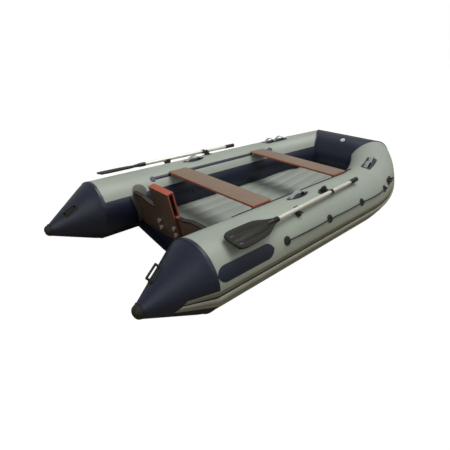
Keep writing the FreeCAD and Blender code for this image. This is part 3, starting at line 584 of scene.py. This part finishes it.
def bead_profile(middle, half, proud, steps, ribs):
    """A closed profile of a half-round bead with small ribs along it."""
    top = []
    for share in spread(1.0, -1.0, steps):
        dome = math.sqrt(max(1 - share ** 2, 0.0))
        rib = 0.0007 * math.cos(share * math.pi * ribs)
        top.append((middle + half * share, 0.003 + (proud - 0.003) * dome + rib * dome))
    return top + [(degrees, 0.002) for degrees in spread(middle - half, middle + half, steps)]


strake_aft = -cone_length * 0.56
strake_slant = 0.0021
strake_low, strake_high = -22.0, 5.0
strake_rubber = moulded_rubber("strake_rubber", (0.125, 0.118, 0.078), 0.6, 120.0)
bead_rubber = moulded_rubber("bead_rubber", (0.19, 0.188, 0.145), 0.5, 120.0)
band = strake_run("strake_band", band_profile(strake_low, strake_high, 0.003, 13), strake_aft, strake_slant)
aboard(band, strake_rubber, "strake_pvc", stands_for=[
    "rub_strake_port", "rub_strake_starboard", "rub_strake_bow_port", "rub_strake_bow_starboard",
    "rub_strake_tails", "rub_strake_cross",
])
for name, profile, starts_later, finish, slot in (
    ("strake_line", band_profile(-4.6, -2.0, 0.0046, 4, 0.002), 0.0362, navy_fabric, "navy_pvc"),
    ("strake_bead", bead_profile(-9.0, 4.2, 0.016, 25, 5), 0.0185, bead_rubber, "strake_pvc"),
    ("strake_foot", band_profile(-21.2, -14.5, 0.0052, 7, 0.002), 0.0017, bead_rubber, "strake_pvc"),
    ("strake_edge", band_profile(3.6, 4.8, 0.0042, 3, 0.002), 0.0538, bead_rubber, "strake_pvc"),
):
    aboard(strake_run(name, profile, strake_aft + starts_later, strake_slant), finish, slot)


# ---- name patch ----------------------------------------------------------------------
# A long round-ended patch of plain navy fabric on the outside of each tube, aft, where an
# owner puts the boat's name. It is bare.
patch_start, patch_end = 0.020, 0.475
patch_low, patch_high = 12.0, 36.0
patch_thick = 0.0012
per_degree = tube_radius * math.radians(1)


def patch_outline(share, full_half, length, corner_radius):
    """Half width of a round-cornered patch at a share of its length."""
    from_end = min(share, 1 - share) * length
    if from_end >= corner_radius:
        return full_half
    return full_half - corner_radius + math.sqrt(corner_radius ** 2 - (corner_radius - from_end) ** 2)


def rounded_shares(steps):
    """Shares of a length, close together at its ends, where an outline turns."""
    return [0.5 - 0.5 * math.cos(math.pi * share) for share in spread(0.0, 1.0, steps)]


def outline_patch(name, station, degrees, length, width, corner_radius, thick, steps=41, across=11, skew=0.0):
    """A round-cornered patch laid on the port tube about a station and an angle."""
    def place(share, width_share, lift):
        half = patch_outline(share, width / 2, length, corner_radius)
        offset = half * width_share
        along = (share - 0.5) * length + skew * offset
        return on_tube(station + along, degrees + offset / per_degree, lift)

    return laid_panel(name, place, rounded_shares(steps), spread(-1.0, 1.0, across), thick)


name_patch = outline_patch(
    "name_patch", (patch_start + patch_end) / 2, (patch_low + patch_high) / 2, patch_end - patch_start,
    math.radians(patch_high - patch_low) * tube_radius, 0.062, patch_thick, 81, 15,
)
both_aboard(name_patch, navy_fabric, "navy_pvc")


# ---- bottom skin and stern skirt -----------------------------------------------------
# One sheet of navy fabric closes the boat's underside in a shallow V over the keel, runs
# up under the bow and on aft of the transom as a skirt.
skin_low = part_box("bottom_skin")[0]
skin_bow_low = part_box("bottom_skin_bow")[0]
skirt_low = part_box("stern_skirt")[0]
skin_edge_y, skin_edge_z, skin_keel_z = 0.425, 0.088, 0.003
skirt_edge_y, skirt_edge_z, skirt_keel_z = 0.395, 0.112, 0.034
skin_bow_end_x = skin_bow_low.x + 0.81
skin_bow_rise = 0.166


def skin_place(x, share, lift):
    """A point on the bottom skin. The share runs across, from -1 to starboard to 1 to port."""
    if x < skin_low.x:
        aft = (skin_low.x - x) / (skin_low.x - skirt_low.x)
    else:
        aft = 0.0
    half = skin_edge_y + (skirt_edge_y - skin_edge_y) * aft
    edge_z = skin_edge_z + (skirt_edge_z - skin_edge_z) * aft
    keel_z = skin_keel_z + (skirt_keel_z - skin_keel_z) * aft
    fore = max(x - skin_bow_low.x, 0.0) / (skin_bow_end_x - skin_bow_low.x)
    climb = skin_bow_rise * fore
    belly = 0.004 * math.sin(math.pi * abs(share)) * (1 - 0.6 * fore)
    y = half * share * (1 - 0.15 * max(fore - 0.55, 0) / 0.45)
    if abs(x - skin_low.x) < 0.2 or fore > 0:
        belly *= 0.5
    return Vector((x, y, keel_z + (edge_z - keel_z) * abs(share) + climb - belly + lift))


bottom_fabric = coated_fabric("bottom_fabric", (0.012, 0.016, 0.034), uv=False)
skin_end_x = bow_x - 0.05
skin_rows = spread(skirt_low.x, skin_low.x, 12) + spread(skin_low.x + 0.01, skin_end_x - 0.05, 120)
hull_skin = laid_panel("bottom_sheet", skin_place, skin_rows, spread(-1.0, 1.0, 41), 0.006, 0.0)
aboard(hull_skin, bottom_fabric, "navy_pvc", stands_for=["bottom_skin", "bottom_skin_bow", "stern_skirt"])
keel_band = laid_panel(
    "keel_band", lambda x, share, lift: skin_place(x, share, -lift),
    spread(skin_low.x, skin_end_x - 0.2, 90), spread(-0.11, 0.11, 7), 0.0022,
)
aboard(keel_band, strake_rubber, "strake_pvc")


# ---- air floor -----------------------------------------------------------------------
# A grey inflatable mat of seven lengthwise channels, which the welds between them draw in.
# It lies on the bottom skin and climbs with it at the bow.
mat_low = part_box("air_floor")[0]
mat_bow_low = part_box("air_floor_bow")[0]
channels = 7
channel_pitch = 0.116
mat_top = 0.150
groove = 0.014
mat_climb = 0.085 / 0.74
mat_half = channels * channel_pitch / 2


def mat_edge(x):
    """Half width of the mat, where it meets the tubes, which close in at the bow."""
    inner = half_track
    if x > bend_x:
        turn = min(math.asin(min((x - bend_x) / bend_radius, 1)), bow_turn)
        inner = half_track + inward.y * bend_radius * (1 - math.cos(turn))
    height = mat_top - groove + mat_climb * max(x - mat_bow_low.x, 0)
    centre_z = tube_radius + (half_track - inner) / -inward.y * inward.z
    drop = min(abs(centre_z - height), tube_radius * 0.98)
    reach = math.sqrt(tube_radius ** 2 - drop ** 2)
    if x > bend_x:
        reach = reach / math.cos(min((x - bend_x) / bend_radius, bow_turn))
    return min(mat_half, inner - reach - 0.001)


def mat_point(x, y, side):
    """A point on the mat's top, for side 1, or its underside, for side -1."""
    place = (y + mat_half) / channel_pitch
    across = 2 * (place - math.floor(place)) - 1
    swell = groove * math.sqrt(max(1 - abs(across) ** 2.3, 0.0))
    middle = mat_top - 0.035 + mat_climb * max(x - mat_bow_low.x, 0)
    drawn = 0.0006 * math.sin(x * 61 + y * 17) * (1 - abs(across))
    height = 0.035 - groove + swell + drawn
    if side > 0:
        return Vector((x, y, middle + height))
    skin = skin_place(x, max(min(y / skin_edge_y, 1), -1), 0).z + 0.0065
    return Vector((x, y, max(middle - height, skin)))


mat_columns = channels * 16
mat_rows = spread(mat_low.x + 0.002, bow_x - tube_radius - 0.004, 150)
rings = []
for x in mat_rows:
    half = mat_edge(x)
    ys = spread(-half, half, mat_columns + 1)
    rings.append([mat_point(x, y, 1) for y in ys] + [mat_point(x, y, -1) for y in reversed(ys)])


def mat_fabric_place(i, j):
    """Place on the mat's fabric, for a row and a step round it."""
    column = j if j <= mat_columns else 2 * mat_columns + 1 - j
    return mat_rows[i], column * channel_pitch / 16


mat = loft("air_mat", rings, mat_fabric_place, caps="strip")
mat_fabric = coated_fabric("mat_fabric", (0.27, 0.30, 0.262), rough=0.5, scuff=0.9)
aboard(mat, mat_fabric, "grey_pvc", stands_for=["air_floor", "air_floor_bow"])


# ---- plywood: transom, riser and benches ---------------------------------------------
# Marine plywood, faced with a dark brown phenolic film on both sides. The sawn edges are
# sealed with an orange-red lacquer, through which the plies and glue lines show.
rake = math.radians(14.15)
film_brown = (0.052, 0.030, 0.020)
edge_orange = (0.34, 0.072, 0.036)
ply_thick = 0.0022


def eased_board(node, name, ease=0.0012):
    """A copy of a sawn board with its edges eased."""
    shape = bmesh.new()
    shape.from_mesh(nodes[node].data)
    bmesh.ops.remove_doubles(shape, verts=shape.verts, dist=0.00005)
    bmesh.ops.dissolve_limit(shape, angle_limit=math.radians(1.0), verts=shape.verts, edges=shape.edges)
    corners = [edge for edge in shape.edges if len(edge.link_faces) == 2 and edge.calc_face_angle(0) > 0.6]
    bmesh.ops.bevel(
        shape, geom=corners, offset=ease, segments=2, profile=0.6, affect="EDGES", clamp_overlap=True,
    )
    bmesh.ops.triangulate(shape, faces=[face for face in shape.faces if len(face.verts) > 4])
    return finished_mesh(name, shape, 30.0)


def film_faced_ply(name, facing, grain, film):
    """Film-faced plywood. Facing is the direction through its plies, and grain the one along its face."""
    material, start = new_shader(name)
    where = start.node("ShaderNodeTexCoord", output="Object")

    def measured(place, way):
        """How far a place lies along a direction."""
        both = {0: place, 1: way}
        return place.node("ShaderNodeVectorMath", both, output="Value", operation="DOT_PRODUCT")

    depth = measured(where, facing)
    along = measured(where, grain)
    facing_share = measured(where.other("Normal"), facing)
    on_face = facing_share.maths("ABSOLUTE", facing_share) > 0.8
    ply_place = depth.maths("FRACT", depth * (1 / ply_thick))
    glue = ply_place.maths("LESS_THAN", ply_place, 0.22)
    ply_count = depth.maths("FLOOR", depth * (1 / ply_thick))
    odd = ply_count.maths("FLOORED_MODULO", ply_count, 2.0)
    stretch = start.node("ShaderNodeCombineXYZ", {0: along * 6.0, 1: depth * 900.0, 2: ply_count})
    fibres = start.node("ShaderNodeTexNoise", {"Vector": stretch, "Scale": 9.0, "Detail": 5.0})
    warm = [channel * 1.35 for channel in edge_orange]
    dark = [channel * 0.42 for channel in edge_orange]
    edge_mix = odd * 0.45 + fibres * 0.5
    edge_shade = mixed(edge_mix, warm, edge_orange)
    edge_shade = mixed(glue * 0.7, edge_shade, dark)
    streak = start.node("ShaderNodeMapping", {"Vector": where, "Scale": (9.0, 2.2, 9.0)})
    bands = start.node("ShaderNodeTexNoise", {
        "Vector": streak, "Scale": 7.0, "Detail": 7.0, "Roughness": 0.62,
    })
    cloud = start.node("ShaderNodeTexNoise", {"Vector": where, "Scale": 2.0, "Detail": 3.0})
    light = [channel * 1.65 + 0.012 for channel in film]
    deep = [channel * 0.72 for channel in film]
    film_shade = mixed(bands * 0.7 + cloud * 0.3, deep, light)
    shade = mixed(on_face, edge_shade, film_shade)
    mesh_print = start.node("ShaderNodeTexVoronoi", {"Vector": where, "Scale": 420.0}, output="Distance")
    relief = mesh_print * 0.6 * on_face + glue * 0.5 * (1 - on_face) + bands * 0.8
    bump = start.node("ShaderNodeBump", {"Height": relief, "Strength": 0.35, "Distance": 0.0004})
    rough = 0.36 + bands * 0.14 + (1 - on_face) * 0.08
    surface(start, start.node("ShaderNodeBsdfPrincipled", {
        "Base Color": shade, "Roughness": rough, "Normal": bump,
    }))
    return material


through_transom = Vector((math.cos(rake), 0, math.sin(rake)))
transom_ply = film_faced_ply("transom_ply", through_transom, port, film_brown)
# The spacer's plies are turned so that its sides show the dark film instead of orange sawn edges: painted
# shade for the slit between the riser's two boards.
spacer_ply_painted_shade = film_faced_ply("spacer_ply_painted_shade", port, up, film_brown)
bench_ply = film_faced_ply("bench_ply", up, port, (0.165, 0.113, 0.074))
for node, name, body, ply in (
    ("transom", "transom_board", "hull", transom_ply),
    ("riser_aft_plate", "riser_aft_board", "motor_riser", transom_ply),
    ("riser_front_plate", "riser_front_board", "motor_riser", transom_ply),
    ("riser_spacer", "riser_spacer_block", "motor_riser", spacer_ply_painted_shade),
    ("bench_aft", "aft_thwart", "aft_bench", bench_ply),
    ("bench_bow", "bow_thwart", "bow_bench", bench_ply),
):
    aboard(eased_board(node, name), ply, "plywood", body, [node])


# ---- transom and bench fittings ------------------------------------------------------
# Plated clamping bolts and bench guides, rubber edging and pads, the fabric flanges that hold
# the transom and the tracks that the benches slide in. They keep their construction shape.
def brushed_metal(name, colour, rough, metallic):
    """Drawn or cast metal with fine lines along its length."""
    material, start = new_shader(name)
    where = start.node("ShaderNodeTexCoord", output="Object")
    stretch = start.node("ShaderNodeMapping", {"Vector": where, "Scale": (4.0, 300.0, 300.0)})
    lines = start.node("ShaderNodeTexNoise", {"Vector": stretch, "Scale": 3.0, "Detail": 4.0})
    tarnish = start.node("ShaderNodeTexNoise", {"Vector": where, "Scale": 14.0, "Detail": 5.0})
    dull = [channel * 0.72 for channel in colour]
    shade = mixed(tarnish, colour, dull)
    bump = start.node("ShaderNodeBump", {"Height": lines, "Strength": 0.3, "Distance": 0.0001})
    surface(start, start.node("ShaderNodeBsdfPrincipled", {
        "Base Color": shade, "Metallic": metallic, "Roughness": rough + tarnish * 0.15, "Normal": bump,
    }))
    return material


def finished(material, *names):
    """Give pieces that keep their construction shape their finish."""
    for name in names:
        nodes[name].data.materials.clear()
        nodes[name].data.materials.append(material)


bright_metal = brushed_metal("bright_metal", (0.78, 0.77, 0.72), 0.32, 0.35)
track_fabric = coated_fabric("track_fabric", (0.022, 0.022, 0.05), uv=False)
loose_grey = coated_fabric("flange_fabric", (0.085, 0.085, 0.062), uv=False)
finished(bright_metal, "riser_bolts", "bench_aft_guides", "bench_bow_guides")
finished(track_fabric, "bench_track_port", "bench_track_starboard")
finished(loose_grey, "transom_flanges")
finished(bottom_fabric, "stern_panel")
finished(olive_rubber, "transom_edging")
# The pad between the riser and the transom is black rubber, and its black also stands in for the shade of the
# gap between them: partly painted shade.
finished(black_rubber, "transom_pad", "drain_plug")


# ---- oars ----------------------------------------------------------------------------
# Take-apart oars: an aluminium shaft, a rubber grip on its inner end, and a moulded blade
# of dark plastic with a rim, two long ribs, a spine and fine flutes between them.
oar_station = 1.210
oar_tilt = 12.0
oar_rest_turn = math.radians(2.5)
oar_offset, oar_height = 0.058, 0.028
blade_tip, blade_length, blade_half = 1.055, 0.410, 0.078
throat_radius, shaft_end, oar_inboard = 0.018, 0.285, 0.400

pin_foot = on_tube(oar_station, 90 - oar_tilt)
pin_line = (pin_foot - on_tube(oar_station, 90 - oar_tilt, -tube_radius)).normalized()
oar_seat = Matrix((ahead, pin_line.cross(ahead), pin_line)).transposed().to_4x4()
oar_seat = Matrix.Translation(pin_foot) @ oar_seat @ Matrix.Rotation(-oar_rest_turn, 4, "Z")


def window(value, start, end, soft=0.06):
    """1 between start and end, falling softly to 0 outside them."""
    rising = min(max((value - start) / soft, 0), 1)
    falling = min(max((end - value) / soft, 0), 1)
    return rising * falling


def blade_width(share):
    """Half width of the blade at a share of its length from the tip."""
    if share < 0.16:
        widening = 0.72 + 0.28 * (1 - (1 - share / 0.16) ** 2.6)
        return blade_half * widening * min(1.0, (share / 0.012 + 0.02) ** 0.22)
    if share < 0.60:
        return blade_half * (1 - 0.10 * ((share - 0.16) / 0.44) ** 2)
    fall = (share - 0.60) / 0.40
    ease = fall * fall * (3 - 2 * fall)
    return blade_half * 0.90 + (throat_radius - blade_half * 0.90) * ease ** 0.8


def blade_relief(share, across):
    """Half thickness of the blade: a rim, two ribs, fine flutes and a spine that grows to the throat."""
    rim = 0.0036 * math.exp(-(((1 - abs(across)) / 0.06) ** 2)) + 0.0030 * math.exp(-((share / 0.02) ** 2))
    ribs = 0.0055 * math.exp(-(((abs(across) - 0.47) / 0.065) ** 2)) * window(share, 0.07, 0.84)
    fluted = window(share, 0.16, 0.7) * window(abs(across), -1, 0.36)
    flutes = 0.0010 * (0.5 + 0.5 * math.cos(across * 62)) * fluted
    spine_half = 0.010 / blade_width(share)
    spine = (0.0028 + 0.0125 * share ** 3) * math.exp(-((across / spine_half) ** 2))
    return 0.0016 + rim + ribs + flutes + spine


blade_rows = spread(0.0, 1.0, 90)
blade_across = spread(-1.0, 1.0, 65)
rings = []
for share in blade_rows:
    half = blade_width(share)
    from_pin = -blade_tip + share * blade_length
    ring = []
    for side, steps_across in ((1, blade_across), (-1, blade_across[::-1])):
        for across in steps_across:
            height = oar_height + side * blade_relief(share, across)
            ring.append(oar_seat @ Vector((from_pin, oar_offset + half * across, height)))
    rings.append(ring)
blade_plastic = moulded_rubber("blade_plastic", (0.0065, 0.0058, 0.003), 0.24, 60.0)
blade = loft("paddle_blade", rings, lambda i, j: (blade_rows[i], j * 0.002), caps="strip")
oar_bodies = ("port_oar", "starboard_oar")
both_aboard(blade, blade_plastic, "olive_plastic", oar_bodies, ("oar_blade",))

shaft_line = (oar_seat.to_3x3() @ ahead).normalized()
throat_foot = oar_seat @ Vector((-(blade_tip - blade_length) - 0.10, oar_offset, oar_height))
throat_profile = [(0.0, 0.0020), (0.004, 0.0120), (0.05, 0.0165)]
for step in range(6):
    at = 0.058 + step * 0.007
    throat_profile += [(at, 0.0178), (at + 0.003, 0.0178), (at + 0.0038, 0.0168), (at + 0.0062, 0.0168)]
throat_profile += [(0.104, 0.0180), (0.108, 0.0162), (0.1085, 0.0140)]
throat = turned("blade_throat", throat_foot, shaft_line, throat_profile)
both_aboard(throat, blade_plastic, "olive_plastic", oar_bodies)

grip_foot = oar_seat @ Vector((shaft_end, oar_offset, oar_height))
grip_length = oar_inboard - shaft_end
grip_profile = [(0.0, 0.0150), (0.0006, 0.0180), (0.004, 0.0186), (0.007, 0.0172)]
for step in range(14):
    at = 0.009 + step * 0.0062
    grip_profile += [(at, 0.0166), (at + 0.0012, 0.0176), (at + 0.0040, 0.0176), (at + 0.0052, 0.0166)]
grip_profile += [(0.100, 0.0184), (0.108, 0.0186), (0.1130, 0.0165)]
grip_profile += [(grip_length, 0.0105), (grip_length + 0.0004, 0.0006)]
grip = turned("oar_handle", grip_foot, shaft_line, grip_profile)
both_aboard(grip, black_rubber, "black_rubber", oar_bodies, ("oar_grip",))

button_foot = oar_seat @ Vector((-0.13, oar_offset - 0.0145, oar_height + 0.002))
button = turned(
    "shaft_button", button_foot, (oar_seat.to_3x3() @ port * -1).normalized(),
    [(-0.002, 0.0045), (0.0015, 0.0045), (0.0028, 0.0036), (0.0033, 0.0005)], 20,
)
both_aboard(button, bright_metal, "aluminium", oar_bodies)

shaft_metal = brushed_metal("shaft_metal", (0.80, 0.78, 0.69), 0.30, 0.45)
finished(shaft_metal, "oar_shaft_port", "oar_shaft_starboard")
finished(black_rubber, "rowlock_bases", "rowlock_port", "rowlock_starboard", "oar_clips")


# ---- carry handles and bow grips -----------------------------------------------------
# Pointed patches of navy fabric glued on the tubes, with arched grips of pale ribbed
# rubber webbing sewn and glued to them.
def pointed_patch(name, station, degrees, half_length, half_width, thick):
    """A lozenge patch on the port tube, with eased points."""
    def place(share, across, lift):
        end = abs(2 * share - 1)
        half = half_width * (1 - end ** 2.6) + 0.003
        return on_tube(station + (2 * share - 1) * half_length, degrees + half * across / per_degree, lift)

    return laid_panel(name, place, rounded_shares(37), spread(-1.0, 1.0, 13), thick)


def webbing_arch(name, station, degrees, half_length, height, width=0.028, thick=0.0042, ribs=0.0009):
    """A ribbed strap arched over a patch. Its ends lie flat on the patch."""
    rings = []
    steps = 72
    for step in range(steps + 1):
        share = 2 * step / steps - 1
        along = share * half_length * 1.16
        if abs(share) > 0.9:
            rise = 0.0032
        else:
            rise = 0.0032 + height * math.cos(share / 0.9 * math.pi / 2) ** 1.15
        ridge = ribs * math.cos(step * 2.1)
        section = []
        for turn in spread(0, 2 * math.pi, 25)[:-1]:
            across = math.copysign(abs(math.cos(turn)) ** 0.45, math.cos(turn)) * width / 2
            up_off = math.copysign(abs(math.sin(turn)) ** 0.7, math.sin(turn)) * (thick / 2 + ridge)
            section.append(on_tube(station + along, degrees + across / per_degree, rise + up_off))
        rings.append(section)
    return loft(name, rings, lambda i, j: (i * 0.0024, j * 0.003))


webbing = moulded_rubber("grip_webbing", (0.235, 0.255, 0.235), 0.45, 140.0)
carry = pointed_patch("carry_patch", 0.990, 95, 0.122, 0.031, 0.0022)
both_aboard(carry, navy_fabric, "navy_pvc", stands_for=("carry_handle",))
both_aboard(webbing_arch("carry_strap", 0.990, 95, 0.078, 0.034), webbing, "grey_pvc")
sleeve = webbing_arch("carry_sleeve", 1.068, 95, 0.016, 0.003, 0.034, 0.006, 0.0)
both_aboard(sleeve, black_rubber, "black_rubber")
grips_patch = outline_patch("grips_patch", 2.125, 90, 0.300, 0.094, 0.03, 0.0022, 41, 13, skew=0.35)
both_aboard(grips_patch, navy_fabric, "navy_pvc", stands_for=("bow_grips",))
for name, offset in (("grip_strap_aft", -0.070), ("grip_strap_fore", 0.070)):
    both_aboard(webbing_arch(name, 2.125 + offset, 90, 0.060, 0.032, 0.030), webbing, "grey_pvc")


# ---- transom ears --------------------------------------------------------------------
# Where the transom's top meets each tube a round patch is glued over both, so that the
# board can't peel off the fabric.
transom_low, transom_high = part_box("transom")
ear_height = math.degrees(math.asin((transom_high.z - 0.012 - tube_radius) / tube_radius))
ear_station = transom_low.x - stern_seam_x + 0.058
ear = outline_patch("transom_ear", ear_station, 180 - ear_height, 0.115, 0.115, 0.055, 0.0032, 41, 13)
both_aboard(ear, loose_grey, "grey_pvc")


# ---- grab lines ----------------------------------------------------------------------
# A black braided line runs through four eyelets on each side and ends in a knot behind
# the first and the last.
def grown(name, base, build, **sizes):
    """Run a Geometry Nodes tree with named inputs on a curve or mesh, and keep the result as a mesh."""
    tree = bpy.data.node_groups.new(name, "GeometryNodeTree")
    tree.interface.new_socket("Geometry", in_out="INPUT", socket_type="NodeSocketGeometry")
    tree.interface.new_socket("Geometry", in_out="OUTPUT", socket_type="NodeSocketGeometry")
    kinds = {float: "NodeSocketFloat", int: "NodeSocketInt", bpy.types.Material: "NodeSocketMaterial"}
    for label, value in sizes.items():
        tree.interface.new_socket(label, in_out="INPUT", socket_type=kinds[type(value)])
    entry = tree.nodes.new("NodeGroupInput")
    inputs = {label: Wire(tree, entry.outputs[label]) for label in ("Geometry", *sizes)}
    leaves = tree.nodes.new("NodeGroupOutput")
    tree.links.new(build(**inputs).socket, leaves.inputs[0])
    modifier = base.modifiers.new(name, "NODES")
    modifier.node_group = tree
    for item in tree.interface.items_tree:
        if item.in_out == "INPUT" and item.name in sizes:
            modifier[item.identifier] = sizes[item.name]
    graph = bpy.context.evaluated_depsgraph_get()
    mesh = bpy.data.meshes.new_from_object(
        base.evaluated_get(graph), preserve_all_data_layers=True, depsgraph=graph,
    )
    bpy.data.objects.remove(base)
    made = bpy.data.objects.new(name, mesh)
    bpy.context.scene.collection.objects.link(made)
    return made


def braid(Geometry, pitch, yarns, line_radius, yarn_radius, finish):
    """Yarns laid round a line in two crossing helices, over a plain core."""
    add = Geometry.node
    points = add("GeometryNodeCurveToPoints", {"Curve": Geometry, "Length": pitch}, mode="LENGTH")
    course = add("GeometryNodeInputIndex")
    marked = {"Geometry": points, "Name": "course", "Value": course}
    tagged = add("GeometryNodeStoreNamedAttribute", marked, data_type="FLOAT")
    copies = add("GeometryNodeDuplicateElements", {"Geometry": tagged, "Amount": yarns}, domain="POINT")
    row = add("GeometryNodeInputNamedAttribute", {"Name": "course"}, data_type="FLOAT")
    tangent = points.other("Tangent")
    number = copies.other("Duplicate Index") + row * 0.5
    angle = number.maths("DIVIDE", number * (2 * math.pi), yarns)
    turning = {"Vector": points.other("Normal"), "Axis": tangent, "Angle": angle}
    reach = add("ShaderNodeVectorRotate", turning)
    offset = add("ShaderNodeVectorMath", {0: reach, "Scale": line_radius * 0.68}, operation="SCALE")
    spread_out = add("GeometryNodeSetPosition", {"Geometry": copies, "Offset": offset})
    side = add("ShaderNodeVectorMath", {0: tangent, 1: reach}, operation="CROSS_PRODUCT")
    hand = row.maths("FLOORED_MODULO", row, 2.0) * 2 - 1
    lean = add("ShaderNodeVectorMath", {0: side, "Scale": hand * 0.6}, operation="SCALE")
    way = add("ShaderNodeVectorMath", {0: tangent, 1: lean}, operation="ADD")
    turned_to = add("FunctionNodeAlignRotationToVector", {"Vector": way}, axis="Z")
    yarn = add("GeometryNodeMeshUVSphere", {"Segments": 6, "Rings": 4, "Radius": yarn_radius})
    long_yarn = add("GeometryNodeTransform", {"Geometry": yarn, "Scale": (1.0, 1.0, 2.3)})
    laid = add("GeometryNodeInstanceOnPoints", {
        "Points": spread_out, "Instance": long_yarn, "Rotation": turned_to,
    })
    real = add("GeometryNodeRealizeInstances", {"Geometry": laid})
    round_core = {"Resolution": 8, "Radius": line_radius * 0.8}
    ring = add("GeometryNodeCurvePrimitiveCircle", round_core, mode="RADIUS")
    swept = {"Curve": Geometry, "Profile Curve": ring, "Fill Caps": True}
    core = add("GeometryNodeCurveToMesh", swept)
    whole = add("GeometryNodeJoinGeometry")
    for part in (real, core):
        Geometry.tree.links.new(part.socket, whole.socket.node.inputs[0])
    smooth = add("GeometryNodeSetShadeSmooth", {"Geometry": whole})
    return add("GeometryNodeSetMaterial", {"Geometry": smooth, "Material": finish})


eyelet_stations = (0.602, 1.085, 1.540, 1.940)
eyelet_degrees, rope_lift, rope_sag, rope_tail = 25, 0.012, 0.007, 0.026
rope_radius = 0.0045
yarn_pitch = 0.0062
yarn_radius = 0.0019


def rope_place(station, sag=0.0):
    """A point on the line, over the port tube."""
    return on_tube(station, eyelet_degrees, rope_lift) - up * sag


route = [rope_place(eyelet_stations[0] - rope_tail)]
for start_station, end_station in zip(eyelet_stations[:-1], eyelet_stations[1:]):
    route.append(rope_place(start_station))
    steps = 2 if end_station <= straight_length else 3
    for step in range(1, steps):
        route.append(rope_place(start_station + (end_station - start_station) * step / steps, rope_sag))
route += [rope_place(eyelet_stations[-1]), rope_place(eyelet_stations[-1] + rope_tail)]
rope_fibre = moulded_rubber("rope_fibre", (0.020, 0.020, 0.021), 0.62, 400.0)
for side, side_name in ((1, "port"), (-1, "starboard")):
    name = "braided_line_" + side_name[0]
    curve = bpy.data.curves.new(name, "CURVE")
    curve.dimensions = "3D"
    spline = curve.splines.new("NURBS")
    spline.points.add(len(route) - 1)
    for spline_point, place in zip(spline.points, route):
        spline_point.co = (place.x, place.y * side, place.z, 1)
    spline.order_u = 3
    spline.use_endpoint_u = True
    spline.resolution_u = 10
    line_curve = bpy.data.objects.new(name + "_route", curve)
    bpy.context.scene.collection.objects.link(line_curve)
    rope = grown(
        name, line_curve, braid,
        pitch=yarn_pitch, yarns=6, line_radius=rope_radius, yarn_radius=yarn_radius, finish=rope_fibre,
    )
    aboard(rope, rope_fibre, "black_rope", stands_for=["grab_line_" + side_name])
finished(black_rubber, "grab_line_eyelets")


# ---- loops and valves ----------------------------------------------------------------
# Moulded rubber loops at bow and stern, and the valves of the air chambers. They keep their
# construction shape.
finished(black_rubber, "bow_loops", "stern_loops", "side_valves")
pale_plastic = moulded_rubber("pale_plastic", (0.52, 0.53, 0.52), 0.3)
finished(pale_plastic, "bow_valve", "floor_valve")
